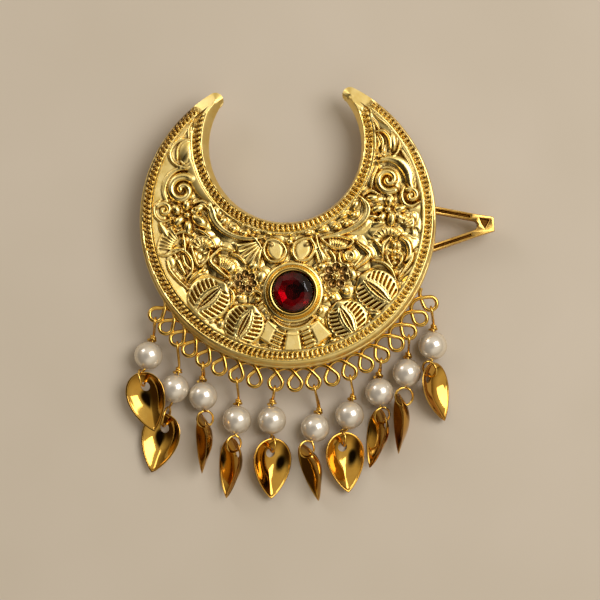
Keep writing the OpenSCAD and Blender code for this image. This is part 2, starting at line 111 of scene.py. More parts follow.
def from_photo(x: float, y: float) -> Array:
    """Returns the place from the crescent's centre that shows at a pixel of the photograph."""
    left, top = CRESCENT_PIXEL
    return np.array([x - left, top - y]) * PIXEL_MM


def spline(points: Array, spacing: float) -> Array:
    """Draws a smooth curve through points.

    Args:
        points: Rows of x, y and one more value, such as a height or a half width.
        spacing: Distance between samples on the curve.

    Returns:
        Samples with the same columns.
    """
    rows = np.asarray(points, float)
    if len(rows) < 3:
        count = max(2, int(np.linalg.norm(rows[1, :2] - rows[0, :2]) / spacing) + 1)
        share = np.linspace(0, 1, count)[:, None]
        return rows[0] * (1 - share) + rows[1] * share
    ends = np.vstack([2 * rows[0] - rows[1], rows, 2 * rows[-1] - rows[-2]])
    steps = np.sqrt(np.maximum(np.linalg.norm(np.diff(ends, axis=0), axis=1), 1e-6))
    knots = np.concatenate([[0], np.cumsum(steps)])

    def blend(a: Array, b: Array, at_a: float, at_b: float) -> Array:
        """Returns points between a and b for the values of t between theirs."""
        return (at_b - t) / (at_b - at_a) * a + (t - at_a) / (at_b - at_a) * b

    samples = []
    for i in range(1, len(ends) - 2):
        p0, p1, p2, p3 = ends[i - 1:i + 3]
        t0, t1, t2, t3 = knots[i - 1:i + 3]
        count = max(2, int(np.linalg.norm(p2 - p1) / spacing) + 1)
        t = np.linspace(t1, t2, count, endpoint=False)[:, None]
        a1, a2, a3 = blend(p0, p1, t0, t1), blend(p1, p2, t1, t2), blend(p2, p3, t2, t3)
        samples.append(blend(blend(a1, a2, t0, t2), blend(a2, a3, t1, t3), t1, t2))
    samples.append(rows[-1:])
    return np.vstack(samples)


# Finishes

# Noise gives most of its values between these two.
PATCH_RANGE = (0.3, 0.7)


def linear(code: str) -> tuple[float, ...]:
    """Returns an sRGB hex code such as #C9A23C as linear red, green, blue and an alpha of 1."""
    parts = [int(code[i:i + 2], 16) / 255 for i in (1, 3, 5)]
    return (*[c / 12.92 if c <= 0.04045 else ((c + 0.055) / 1.055) ** 2.4 for c in parts], 1.0)


def add_node(tree: Tree, kind: str, settings: dict | None = None,
             links: dict | None = None) -> Node:
    """Adds a node to a tree.

    Args:
        tree: Tree that takes the node.
        kind: Blender's name for the node's type.
        settings: Values by the name of an input or of a field.
        links: Output sockets by the name or number of the input that takes them.

    Returns:
        The new node.
    """
    node = tree.nodes.new(kind)
    for name, value in (settings or {}).items():
        if isinstance(name, int) or name in node.inputs:
            node.inputs[name].default_value = value
        else:
            setattr(node, name, value)
    for name, socket in (links or {}).items():
        tree.links.new(socket, node.inputs[name])
    return node


def ramp(tree: Tree, share: Socket, stops: Sequence[tuple[float, str]]) -> Socket:
    """Adds a colour ramp.

    Args:
        tree: Tree that takes the ramp.
        share: Output socket that drives it.
        stops: Positions from 0 to 1 and their hex colours.

    Returns:
        The ramp's colour socket.
    """
    node = add_node(tree, "ShaderNodeValToRGB", links={"Fac": share})
    elements = node.color_ramp.elements
    while len(elements) < len(stops):
        elements.new(0.5)
    for element, (position, code) in zip(elements, stops):
        element.position = position
        element.color = linear(code)
    return node.outputs["Color"]


@dataclass(frozen=True)
class Finish:
    """A finish that makes its own material."""

    name: str

    def surface(self, tree: Tree) -> Node:
        """Adds the shader nodes to the material's tree and returns the last one."""
        raise NotImplementedError

    def material(self) -> bpy.types.Material:
        """Makes the finish's material, once.

        Returns:
            The material.
        """
        made = bpy.data.materials.get(self.name)
        if made:
            return made
        made = bpy.data.materials.new(self.name)
        made.use_nodes = True
        tree = made.node_tree
        tree.nodes.clear()
        shader = self.surface(tree)
        add_node(tree, "ShaderNodeOutputMaterial", links={"Surface": shader.outputs[0]})
        return made


@dataclass(frozen=True)
class GoldPlate(Finish):
    """Bright gold plating, dipped over cast or pressed metal.

    The plating takes the shape under it, so its own texture is only the fine waviness and the
    dust-like pits of the metal below, which break its reflections up a little. Where a piece
    marks them, its creases and hollows get painted shade.
    """

    crest: str = "#F5DD94"
    shade: str = "#ECCC74"
    # Colour of the painted shade in creases and hollows.
    painted_shade: str = "#643602"
    roughness: tuple[float, float] = (0.16, 0.3)
    patch_mm: float = 1.6
    grit_mm: float = 0.25
    grit_depth_mm: float = 0.006
    uses_painted_shade: bool = False
    satin_roughness: float = 0.42

    def surface(self, tree: Tree) -> Node:
        """Adds a metal whose tone and gloss vary by patch; marked places get painted shade and less
        gloss.

        Args:
            tree: The material's tree.

        Returns:
            The shader.
        """
        place = add_node(tree, "ShaderNodeTexCoord").outputs["Object"]
        patches = add_node(tree, "ShaderNodeTexNoise", {
            "Scale": 1 / (self.patch_mm * MM), "Detail": 3.0, "Roughness": 0.6},
            {"Vector": place}).outputs["Fac"]
        grit = add_node(tree, "ShaderNodeTexNoise", {
            "Scale": 1 / (self.grit_mm * MM), "Detail": 2.0}, {"Vector": place}).outputs["Fac"]
        low, high = PATCH_RANGE
        tone = ramp(tree, patches, [(low, self.shade), (high, self.crest)])
        rough = add_node(tree, "ShaderNodeMapRange", {
            "From Min": low, "From Max": high,
            "To Min": self.roughness[0], "To Max": self.roughness[1]},
            {"Value": patches}).outputs[0]
        # Painted shade: marked places turn towards the shade colour, and satin places turn duller.
        if self.uses_painted_shade:
            depth, satin = [
                add_node(tree, "ShaderNodeAttribute", {"attribute_name": kind.value}).outputs["Fac"]
                for kind in (Mark.PAINTED_SHADE, Mark.SATIN)]
            tone = add_node(tree, "ShaderNodeMix", {"data_type": "RGBA", 7: linear(self.painted_shade)},
                            {0: depth, 6: tone}).outputs[2]
            rough = add_node(tree, "ShaderNodeMix", {3: self.satin_roughness},
                             {0: satin, 2: rough}).outputs[0]
        bump = add_node(tree, "ShaderNodeBump", {
            "Strength": 1.0, "Distance": self.grit_depth_mm * MM}, {"Height": grit})
        return add_node(tree, "ShaderNodeBsdfPrincipled", {"Metallic": 1.0}, {
            "Base Color": tone, "Roughness": rough, "Normal": bump.outputs[0]})


@dataclass(frozen=True)
class ImitationPearl(Finish):
    """A glass bead dipped in pearl essence.

    Light scatters in the thin milky coats, so the bead looks creamy, a little yellower towards
    its rim, under a clear gloss.
    """

    middle: str = "#DDD3C2"
    body: str = "#D9CBAF"
    rim: str = "#B89A62"
    lustre: float = 0.4
    roughness: float = 0.2
    cloud_mm: float = 1.3
    cloud_share: float = 0.12
    wave_depth_mm: float = 0.004

    def surface(self, tree: Tree) -> Node:
        """Adds a milky, half mirror-like shader with a yellower rim and a clear coat.

        Args:
            tree: The material's tree.

        Returns:
            The shader.
        """
        place = add_node(tree, "ShaderNodeTexCoord").outputs["Object"]
        cloud = add_node(tree, "ShaderNodeTexNoise", {
            "Scale": 1 / (self.cloud_mm * MM), "Detail": 2.0}, {"Vector": place}).outputs["Fac"]
        facing = add_node(tree, "ShaderNodeLayerWeight", {"Blend": 0.3}).outputs["Facing"]
        mixed = add_node(tree, "ShaderNodeMath", {
            "operation": "MULTIPLY_ADD", 1: self.cloud_share}, {0: cloud, 2: facing})
        tone = ramp(tree, mixed.outputs[0], [(0.08, self.middle), (0.5, self.body),
                                             (0.95, self.rim)])
        wave = add_node(tree, "ShaderNodeBump", {
            "Strength": 1.0, "Distance": self.wave_depth_mm * MM}, {"Height": cloud})
        return add_node(tree, "ShaderNodeBsdfPrincipled", {
            "Metallic": self.lustre, "Roughness": self.roughness, "IOR": 1.55,
            "Coat Weight": 1.0, "Coat Roughness": 0.04, "Coat IOR": 1.6},
            {"Base Color": tone, "Normal": wave.outputs[0]})


@dataclass(frozen=True)
class TwoTone(Finish):
    """A finish whose colour drifts in soft patches between two tones.

    Values are the shader's others, by the names of its inputs.
    """

    dark: str
    pale: str
    patch_mm: float
    values: dict[str, float]

    def surface(self, tree: Tree) -> Node:
        """Adds the shader and its patches.

        Args:
            tree: The material's tree.

        Returns:
            The shader.
        """
        place = add_node(tree, "ShaderNodeTexCoord").outputs["Object"]
        patches = add_node(tree, "ShaderNodeTexNoise", {"Scale": 1 / (self.patch_mm * MM)},
                           {"Vector": place})
        tone = ramp(tree, patches.outputs["Fac"], list(zip(PATCH_RANGE, (self.dark, self.pale))))
        return add_node(tree, "ShaderNodeBsdfPrincipled", self.values, {"Base Color": tone})


# A polished casting has bright crests over dull recesses, which get painted shade.
RELIEF_GOLD = GoldPlate("Gold plated cast zinc", uses_painted_shade=True)
# Rolled sheet reflects in broad, calm patches.
PLAIN_GOLD = GoldPlate("Gold plated rolled brass", crest="#EECB78", shade="#E0B75C",
                       roughness=(0.2, 0.34), patch_mm=4.0)
# A polished punch leaves the leaves glossier than the rest. Their deeper gold is painted shade:
# the same plating, toned down for the dim room that they mirror.
LEAF_GOLD = GoldPlate("Gold plated pressed leaf", crest="#CFA44C", shade="#C4923B",
                      roughness=(0.06, 0.13), patch_mm=3.5, grit_mm=0.5, grit_depth_mm=0.004)
# Drawn wire is smooth and catches thin bright lines.
WIRE_GOLD = GoldPlate("Gold plated drawn wire", crest="#EFC768", shade="#DCAC48",
                      roughness=(0.12, 0.22), patch_mm=0.9, grit_depth_mm=0.003)
# A turned and burnished cup has a crisp highlight along its lip.
SETTING_GOLD = GoldPlate("Gold plated turned cup", crest="#F3D078", shade="#E8BE5C",
                         roughness=(0.1, 0.18), patch_mm=2.0, grit_depth_mm=0.003)
# Spring steel is rolled, not polished, so its plating looks duller.
CLIP_STEEL = GoldPlate("Gold plated spring steel", crest="#E6BC66", shade="#D2A24C",
                       roughness=(0.2, 0.32), patch_mm=2.4, uses_painted_shade=True)
# Nickel is paler and cooler than the gold.
SPRING_WIRE = GoldPlate("Nickel plated spring wire", crest="#D8D2C4", shade="#BDB6A6",
                        roughness=(0.18, 0.28), patch_mm=0.8)
# Dipped beads glow softly from below their gloss.
PEARL = ImitationPearl("Pearl essence on glass")
# Pressed and fire polished glass is deep red and clear, with sharp reflections and faint streaks.
RUBY = TwoTone("Pressed ruby glass", "#5C0413", "#8C0A21", 2.2,
               {"Transmission Weight": 1.0, "Roughness": 0.04, "IOR": 1.46})
# Lacquered foil behind a pressed stone throws the light back.
FOIL = TwoTone("Red foil back", "#A01C38", "#E04866", 1.1, {"Metallic": 1.0, "Roughness": 0.12})
# A matt sweep shows soft shadows and no reflections.
TABLE = TwoTone("Matt pale sweep", "#C4B8A4", "#C9BDAA", 1000 / 30, {"Roughness": 0.85})


# Meshes

def add_object(name: str, data: bpy.types.ID) -> bpy.types.Object:
    """Makes an object and puts it in the scene.

    Args:
        name: The object's name.
        data: Its mesh, camera or light.

    Returns:
        The new object.
    """
    made = bpy.data.objects.new(name, data)
    bpy.context.scene.collection.objects.link(made)
    return made


def make_piece(name: str, points: Array, faces: Array | Sequence[Sequence[int]], finish: Finish,
               slot: Slot, replaces: str, sharp: float | None = 40.0) -> bpy.types.Object:
    """Makes a mesh piece and ties it to the ornament's body.

    Args:
        name: The piece's name.
        points: Places in millimetres from the crescent's centre, and heights.
        faces: Corner numbers of each face.
        finish: The finish it wears.
        slot: The record's material slot. Not used.
        replaces: The CAD node that it stands for.
        sharp: Edges that turn more than this angle in degrees stay sharp; None for no such edge.

    Returns:
        The new object.
    """
    mesh = bpy.data.meshes.new(name)
    mesh.from_pydata(((np.asarray(points, float) + CENTRE) * MM).tolist(), [],
                     faces.tolist() if isinstance(faces, np.ndarray) else faces)
    mesh.validate()
    mesh.shade_smooth()
    if sharp is not None:
        mesh.set_sharp_from_angle(angle=math.radians(sharp))
    mesh.materials.append(finish.material())
    piece = add_object(name, mesh)
    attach(piece, BODY)
    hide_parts(replaces)
    LOG.info("%s: %d points, %d faces", name, len(mesh.vertices), len(mesh.polygons))
    return piece


def mark(piece: bpy.types.Object, kind: Mark, values: Array) -> None:
    """Stores a value at each point of a piece for its finish to read."""
    attribute = piece.data.attributes.new(kind.value, "FLOAT", "POINT")
    attribute.data.foreach_set("value", values.astype(np.float32))


def ring_faces(rings: int, count: int, wraps: bool = True) -> Array:
    """Gives the quads between rings of points that are stored ring by ring.

    Args:
        rings: Number of rings.
        count: Number of points in a ring.
        wraps: Whether the last ring joins the first.

    Returns:
        Four corner numbers for each face.
    """
    ring = np.arange(rings if wraps else rings - 1)[:, None]
    point = np.arange(count)
    here, ahead, after = ring * count, (ring + 1) % rings * count, (point + 1) % count
    corners = [here + point, here + after, ahead + after, ahead + point]
    return np.stack(corners, axis=-1).reshape(-1, 4)


def tube(path: Array, radius: float, sides: int = 12) -> Mesh:
    """Sweeps a round section along a path, with flat ends.

    Args:
        path: Places along the middle of the wire.
        radius: The wire's radius.
        sides: Points round it.

    Returns:
        Points and faces.
    """
    ahead = np.gradient(path, axis=0)
    ahead /= np.linalg.norm(ahead, axis=1)[:, None]
    # Any direction that no wire starts along.
    side = np.array([0.31, 0.27, 0.91])
    turns = np.linspace(0, 2 * math.pi, sides, endpoint=False)
    rings = []
    for place, way in zip(path, ahead):
        side = unit(side - (side @ way) * way)
        across = np.cross(way, side)
        rings.append(place + radius * (np.cos(turns)[:, None] * side
                                       + np.sin(turns)[:, None] * across))
    faces = ring_faces(len(path), sides, wraps=False).tolist()
    last = (len(path) - 1) * sides
    faces.append(list(range(sides))[::-1])
    faces.append(list(range(last, last + sides)))
    return np.vstack(rings), faces


def join(parts: Sequence[Mesh]) -> Mesh:
    """Puts several meshes into one.

    Args:
        parts: Points and faces of each.

    Returns:
        Points and faces of them all.
    """
    points, faces, count = [], [], 0
    for more_points, more_faces in parts:
        points.append(more_points)
        faces.extend([[count + int(i) for i in f] for f in more_faces])
        count += len(more_points)
    return np.vstack(points), faces


# Crescent front

@dataclass(frozen=True)
class Circle:
    """A circle seen from above."""

    centre: Point
    radius: float

    def inside(self, x: Array, y: Array) -> Array:
        """Returns how far each place lies inside the circle."""
        return self.radius - np.hypot(x - self.centre[0], y - self.centre[1])

    def along(self, x: Array, y: Array) -> Array:
        """Returns the length of the arc from straight up, clockwise, to each place."""
        return np.arctan2(x - self.centre[0], y - self.centre[1]) * self.radius

    def arc(self, start: float, stop: float, spacing: float) -> tuple[Array, Array]:
        """Walks along an arc.

        Args:
            start: Where it starts, clockwise in degrees from straight up.
            stop: Where it stops, which it doesn't reach.
            spacing: Distance between samples.

        Returns:
            Places on the arc, and the unit vectors that point outwards there.
        """
        count = int(abs(stop - start) * math.pi / 180 * self.radius / spacing)
        ways = compass(np.linspace(start, stop, count, endpoint=False))
        return np.array(self.centre) + self.radius * ways, ways


@dataclass(frozen=True)
class MilledRing:
    """A border of short ribs along a circle, as on a coin's edge.

    Towards the left each rib turns into two knobs with a low bridge between them, and towards the
    right by a share of right_knobs. The zones are ranges of x over which that happens.
    """

    line: Circle
    ribs: int
    half_width: float = 0.62
    rise: float = 0.3
    sink: float = 0.5
    slant: float = 0.3
    right_knobs: float = 0.45
    narrowing: float = 0.26
    left_zone: Point = (4.0, -14.0)
    right_zone: Point = (6.0, 13.0)
    narrow_zone: Point = (0.0, 14.0)
    rib_share: float = 0.8
    knob_share: float = 0.9
    knob_at: float = 0.56
    bridge: float = 0.36
    groove_off: float = 0.08
    groove_r: float = 0.09
    groove_depth: float = 0.15

    def height(self, x: Array, y: Array, inward: Array) -> Array:
        """Gives the ribs' height above the rim.

        Args:
            x, y: Places.
            inward: Distance from the ring's middle line, towards the field.

        Returns:
            Heights, with a shallow groove at both ends of the ribs.
        """
        pitch = 2 * math.pi * self.line.radius / self.ribs
        left = smooth(*self.left_zone, x)
        half_width = self.half_width * (1 - self.narrowing * smooth(*self.narrow_zone, x))
        share = inward / half_width
        phase = (self.line.along(x, y) + self.slant * share * left) / pitch
        aside = 2 * np.abs(phase - np.round(phase))
        rib = np.sqrt(np.clip(1 - (aside / self.rib_share) ** 2, 0, 1))
        off = (np.abs(share) - self.knob_at) / (1 - self.knob_at)
        knob = np.sqrt(np.clip(1 - (aside / self.knob_share) ** 2 - off ** 2, 0, 1))
        knobbed = np.maximum(left, self.right_knobs * smooth(*self.right_zone, x))
        bar = knobbed * np.maximum(knob, self.bridge * rib) + (1 - knobbed) * rib
        window = np.clip(1 - np.abs(share) ** 8, 0, 1)
        groove = np.exp(-((np.abs(inward) - half_width - self.groove_off) / self.groove_r) ** 2)
        return window * (-self.sink + (self.sink + self.rise) * bar) - self.groove_depth * groove


@dataclass(frozen=True)
class CrescentShape:
    """The crescent's outline and levels, as the CAD model has them.

    A ledge is the width from a ring's middle line to the wall outside it, and a slope is the least
    and the most width of that wall. The ribs fade out where a horn's half width falls within
    rib_ends. Both sides of a horn reach past their meeting line by lap, so that no slit opens.
    """

    outer: Circle = Circle((0.0, 0.0), 26.6)
    notch: Circle = Circle((-0.5, 13.3), 13.7)
    horn_ends: tuple[float, float] = (-31.2, 26.2)
    outer_ring: MilledRing = MilledRing(Circle((-0.1, 0.8), 25.2), 176)
    notch_ring: MilledRing = MilledRing(Circle((-0.9, 14.0), 15.5), 106, right_knobs=1.0,
                                        narrowing=0.1)
    relief: Circle = Circle((1.1, -0.5), 23.05)
    bottom_z: float = 5.55
    edge_z: float = 6.35
    rim_z: float = 7.85
    field_z: float = 7.2
    ring_end: float = 1.0
    ring_gap: float = 0.7
    bead: float = 0.38
    bead_rise: float = 0.42
    roll_foot: float = 0.3
    outer_ledge: float = 0.95
    outer_slope: Point = (0.35, 1.3)
    notch_ledge: float = 0.9
    notch_slope: Point = (0.35, 1.5)
    rib_ends: Point = (2.05, 2.4)
    tip_wall: float = 0.45
    tip_slope: float = 0.42
    half_satin: float = 0.6
    lap: float = 0.015

    def insets(self, x: Array, y: Array) -> tuple[Array, Array]:
        """Returns each place's distance in from the outer edge and from the notch."""
        return self.outer.inside(x, y), -self.notch.inside(x, y)

    def beyond_rings(self, x: Array, y: Array) -> tuple[Array, Array]:
        """Returns each place's distance inward from the middle line of both rings."""
        return self.outer_ring.line.inside(x, y), -self.notch_ring.line.inside(x, y)

    def rim_height(self, x: Array, y: Array, from_end: Array) -> Array:
        """Gives the height of the rim, its sloped walls and its ribs.

        Args:
            x, y: Places.
            from_end: Distance in from the round end of a horn, or infinity away from it.

        Returns:
            Heights above the surface that the ornament lies on.
        """
        from_edge, from_notch = self.insets(x, y)
        past_outer, past_notch = self.beyond_rings(x, y)
        outer_slope = np.clip(from_edge - past_outer - self.outer_ledge, *self.outer_slope)
        notch_slope = np.clip(from_notch - past_notch - self.notch_ledge, *self.notch_slope)
        step = self.rim_z - self.edge_z
        bead = np.clip(1 - from_edge / self.bead, 0, 1)
        edge_bead = self.edge_z + self.bead_rise * np.sqrt(1 - bead ** 2)
        roll = np.clip(1 - (from_edge - self.bead) / (outer_slope - self.bead * 0.4), 0, 1)
        rolled = self.roll_foot + (step - self.roll_foot) * np.sqrt(1 - roll ** 2.2)
        outer_wall = np.where(from_edge < self.bead, edge_bead, self.edge_z + rolled)
        fall = np.clip(from_notch / notch_slope, 0, 1)
        notch_wall = self.edge_z + step * (1 - (1 - fall) ** 1.2)
        level = np.minimum(outer_wall, notch_wall)
        ribs = (self.outer_ring.height(x, y, past_outer)
                + self.notch_ring.height(x, y, past_notch) * (past_outer > self.ring_gap))
        ribbed = self.ribbed(x, y)
        tip = self.edge_z + self.tip_wall + self.tip_slope * np.minimum(from_edge, from_end)
        gable = np.minimum(notch_wall, tip)
        return gable * (1 - ribbed) + (level + ribs) * ribbed

    def ribbed(self, x: Array, y: Array) -> Array:
        """Returns 1 where the rim has its ribs, falling to 0 towards the horns' tips."""
        return smooth(*self.rib_ends, sum(self.insets(x, y)) / 2)

    def satin(self, x: Array, y: Array) -> Array:
        """Gives how satin the surface is: the walls and the plain band are less polished.

        Args:
            x, y: Places.

        Returns:
            Shares from 0, polished, to 1, satin.
        """
        past_outer, past_notch = self.beyond_rings(x, y)
        notch_wall = smooth(-0.8, -1.1, past_notch)
        outer_wall = smooth(-0.85, -1.1, past_outer)
        tips = smooth(2.4, 2.1, sum(self.insets(x, y)) / 2)
        band = smooth(0.85, 1.1, past_outer) * smooth(0.2, -0.1, self.relief.inside(x, y))
        return np.maximum(notch_wall, self.half_satin * np.maximum.reduce([outer_wall, tips, band]))

    def horn_cap(self, angle: float) -> tuple[Circle, float]:
        """Fits the round end of a horn.

        Args:
            angle: Where the horn ends, clockwise in degrees from straight up.

        Returns:
            The end's circle, and the angle at which it meets the notch, seen from the notch's centre.
        """
        way, centre = compass(angle), np.array(self.notch.centre)
        along = way @ centre
        reach = along + math.sqrt(along ** 2 - centre @ centre + self.notch.radius ** 2)
        middle = (self.outer.radius + reach) / 2 * way
        foot = reach * way - centre
        return (Circle((middle[0], middle[1]), (self.outer.radius - reach) / 2),
                math.degrees(math.atan2(foot[0], foot[1])))

    def outline(self, spacing: float) -> tuple[Array, Array, Array]:
        """Walks round the crescent's edge.

        Args:
            spacing: Distance between samples.

        Returns:
            Places on the edge, how far each reaches in along its inward normal, as vectors, and
            whether each lies on the round end of a horn.
        """
        left, right = self.horn_ends
        (left_cap, left_foot), (right_cap, right_foot) = self.horn_cap(left), self.horn_cap(right)
        arcs = [self.outer.arc(right, 360 + left, spacing),
                left_cap.arc(left, left + 180, spacing),
                self.notch.arc(360 + left_foot, right_foot, spacing),
                right_cap.arc(right - 180, right, spacing)]
        run = np.repeat(np.arange(len(arcs)), [len(places) for places, _ in arcs])
        on_left_end, on_notch, on_right_end = run == 1, run == 2, run == 3
        edge = np.vstack([places for places, _ in arcs])
        normal = np.vstack([ways for _, ways in arcs]) * np.where(on_notch, 1, -1)[:, None]
        low, high = np.full(len(edge), 0.3), np.full(len(edge), 6.0)
        for _ in range(40):
            middle = (low + high) / 2
            x, y = (edge + middle[:, None] * normal).T
            from_edge, from_notch = self.insets(x, y)
            past_outer, past_notch = self.beyond_rings(x, y)
            own = np.where(on_notch, past_notch, past_outer)
            other = np.where(on_notch, from_edge, from_notch)
            done = (own > self.ring_end) | (other < middle)
            high, low = np.where(done, middle, high), np.where(done, low, middle)
        reach = np.select([on_left_end, on_right_end], [left_cap.radius, right_cap.radius],
                          (low + high) / 2)
        return edge, normal * (reach[:, None] + self.lap), on_left_end | on_right_end


class Profile(Enum):
    """Cross sections that a stroke of the relief may have."""

    ROUND = "round"
    BAND = "band"
    ROLLED = "rolled"

    def lift(self, share: Array) -> Array:
        """Gives the section's height.

        Args:
            share: Distance from the stroke's middle line, 1 at its edge.

        Returns:
            Heights, 1 for the crest of a round stroke.
        """
        if self is Profile.BAND:
            return np.clip((1 - share) * 3.5, 0, 1) ** 0.6
        dome = np.sqrt(1 - share ** 2)
        return dome * (0.62 + 0.5 * share ** 2) if self is Profile.ROLLED else dome


@dataclass
class Panel:
    """The height field that the relief's motifs are raised on.

    Between the motifs the ground swells and falls into a crease, as in relief that is cut in wax
    before casting. For each point of the grid, nearest and second are the distances to the two
    closest motifs, lift is how high the motifs stand, sunk how deep they are cut, dark how much
    painted shade it takes, and matt how much duller the metal is.
    """

    shape: CrescentShape
    half_size: float = 26.5
    pitch: float = 0.11
    swell: float = 0.3
    swell_reach: float = 1.5
    band_drop: float = 0.12
    band_fall: float = 0.16
    x: Array = field(init=False)
    y: Array = field(init=False)
    lift: Array = field(init=False)
    nearest: Array = field(init=False)
    second: Array = field(init=False)
    sunk: Array = field(init=False)
    dark: Array = field(init=False)
    matt: Array = field(init=False)

    def __post_init__(self) -> None:
        """Lays out the empty grid."""
        steps = np.arange(-self.half_size, self.half_size, self.pitch)
        self.x, self.y = np.meshgrid(steps, steps)
        self.lift, self.sunk, self.dark, self.matt = np.zeros((4, *self.x.shape))
        self.nearest, self.second = np.full((2, *self.x.shape), FAR)

    def around(self, middle: Array, reach: Array | float) -> tuple[Part, Array, Array]:
        """Finds the part of the grid round a place.

        Args:
            middle: The place.
            reach: How far a motif reaches from it. The swell round the motif is added.

        Returns:
            The part's rows and columns, and its points' x and y from the place.
        """
        start, reach = self.x[0, 0], reach + self.swell_reach
        first = np.floor((middle - reach - start) / self.pitch).astype(int)
        last = np.ceil((middle + reach - start) / self.pitch).astype(int) + 1
        first, last = first.clip(0, len(self.x) - 1), last.clip(1, len(self.x))
        part = slice(first[1], last[1]), slice(first[0], last[0])
        return part, self.x[part] - middle[0], self.y[part] - middle[1]

    def add(self, part: Part, height: Array, away: Array, owned: Array | None = None) -> None:
        """Adds a motif.

        Args:
            part: Rows and columns that the values are for.
            height: Heights above the ground, 0 outside the motif.
            away: Distance in millimetres outside the motif's edge.
            owned: Whether the motif takes each place from what is already there.
        """
        outside = np.maximum(away, 0)
        nearest = self.nearest[part]
        self.second[part] = np.where(outside < nearest, nearest,
                                     np.minimum(self.second[part], outside))
        self.nearest[part] = np.minimum(nearest, outside)
        lift = np.maximum(self.lift[part], height)
        self.lift[part] = lift if owned is None else np.where(owned, height, lift)

    def sink(self, part: Part, depth: Array) -> None:
        """Sinks the finished relief by depths."""
        self.sunk[part] += depth

    def paint_shade(self, part: Part, share: Array) -> None:
        """Paints shade: makes places at least this dark."""
        self.dark[part] = np.maximum(self.dark[part], share)

    def dull(self, part: Part, share: Array) -> None:
        """Makes places at least this matt."""
        self.matt[part] = np.maximum(self.matt[part], share)

    def heights(self) -> Array:
        """Puts the plain bands, the swelling ground and the motifs together.

        Returns:
            The finished relief's height at each point of the grid.
        """
        past_outer, past_notch = self.shape.beyond_rings(self.x, self.y)
        in_relief = self.shape.relief.inside(self.x, self.y)
        rim, field_z = self.shape.rim_z - self.band_drop, self.shape.field_z
        past = np.maximum(past_outer - 0.9, 0)
        across = past / np.maximum(past - np.minimum(in_relief, 0), 0.05)
        outer_band = rim - self.band_fall * across.clip(0, 1)
        outer_band -= (rim - self.band_fall - field_z) * smooth(-0.05, 0.3, in_relief)
        notch_band = rim - (rim - field_z) * smooth(1.0, 1.5, past_notch)
        share = 2 * self.nearest / (self.nearest + self.second + 0.02)
        ground = self.swell * (1 - np.clip(share, 0, 1) ** 2.5)
        ground *= smooth(self.swell_reach, 0.4 * self.swell_reach, self.nearest)
        relief = field_z + ground + self.lift
        z = np.maximum(np.maximum(outer_band, notch_band), relief) - self.sunk
        under = np.minimum(past_outer, past_notch)
        return z - 0.2 * smooth(self.shape.ring_end, self.shape.ring_end - 0.18, under)


class Motif:
    """A form of the relief, which raises itself on the panel."""

    def stamp(self, panel: Panel) -> None:
        """Raises or sinks the form on the panel."""
        raise NotImplementedError


@dataclass(frozen=True)
class Stroke(Motif):
    """A bar of relief along a smooth curve, given in the photograph's pixels."""

    points: Sequence[Point] | Array
    widths: Sequence[float] | Array
    rise: float = 0.55
    profile: Profile = Profile.ROUND
    fullness: float = 1.15
    matt: bool = False

    def stamp(self, panel: Panel) -> None:
        """Raises the bar.

        Args:
            panel: The panel that takes it.
        """
        places = np.array([from_photo(*p) for p in self.points])
        spread = np.interp(np.linspace(0, 1, len(places)), np.linspace(0, 1, len(self.widths)),
                           self.widths) * PIXEL_MM / 2 * self.fullness
        rows = spline(np.column_stack([places, spread]), 0.08)
        widest, thinnest = rows[:, 2].max(), 0.04
        low, high = rows[:, :2].min(0), rows[:, :2].max(0)
        middle = (low + high) / 2
        part, x, y = panel.around(middle, (high - low) / 2 + widest)
        share, away = np.full((2, *x.shape), FAR)
        for px, py, half in rows - [*middle, 0]:
            apart = np.hypot(x - px, y - py)
            share = np.minimum(share, apart / max(half, thinnest))
            away = np.minimum(away, apart - half)
        # A thin bar stands a little lower than a wide one.
        rise = self.rise * min(1.0, widest / 0.25) ** 0.3
        lift = self.profile.lift(np.clip(share, 0, 1))
        panel.add(part, np.where(share < 1, rise * lift, 0), away)
        if self.matt:
            panel.dull(part, smooth(1.1, 0.9, share))


def oval_share(x: Array, y: Array, size: Point, turn: float) -> Array:
    """Measures places against an oval round the origin.

    Args:
        x, y: Places.
        size: Its length and width in the photograph's pixels.
        turn: Its turn, anticlockwise in degrees.

    Returns:
        Shares, 0 in the oval's middle and 1 on its edge.
    """
    half, way = np.array(size) * PIXEL_MM / 2, math.radians(turn)
    along = x * math.cos(way) + y * math.sin(way)
    across = -x * math.sin(way) + y * math.cos(way)
    return np.hypot(along / half[0], across / half[1])


@dataclass(frozen=True)
class Dome(Motif):
    """A smooth oval bead, given in the photograph's pixels."""

    at: Point
    size: tuple[float, float]
    rise: float = 0.6
    turn: float = 0.0
    hollow: float = 0.0
    # Share of painted shade laid over the bead.
    dark: float = 0.0

    def stamp(self, panel: Panel) -> None:
        """Raises the bead, and sinks a hollow in its middle if it has one.

        Args:
            panel: The panel that takes it.
        """
        half = np.array(self.size) * PIXEL_MM / 2
        part, x, y = panel.around(from_photo(*self.at), half.max())
        share = oval_share(x, y, self.size, self.turn)
        lift = np.sqrt(np.clip(1 - share ** 2, 0, 1))
        lift -= self.hollow * np.exp(-(share / 0.5) ** 2.6)
        panel.add(part, np.where(share < 1, self.rise * lift, 0), (share - 1) * half.mean())
        # Painted shade over the bead.
        panel.paint_shade(part, self.dark * smooth(1.0, 0.7, share))


@dataclass(frozen=True)
class Hollow(Motif):
    """A sunk place, given in the photograph's pixels."""

    at: Point
    size: tuple[float, float]
    depth: float = 0.4
    turn: float = 0.0

    def stamp(self, panel: Panel) -> None:
        """Sinks the place, deepest in its middle."""
        part, x, y = panel.around(from_photo(*self.at), max(self.size) * PIXEL_MM)
        panel.sink(part, self.depth * smooth(1.1, 0.55, oval_share(x, y, self.size, self.turn)))


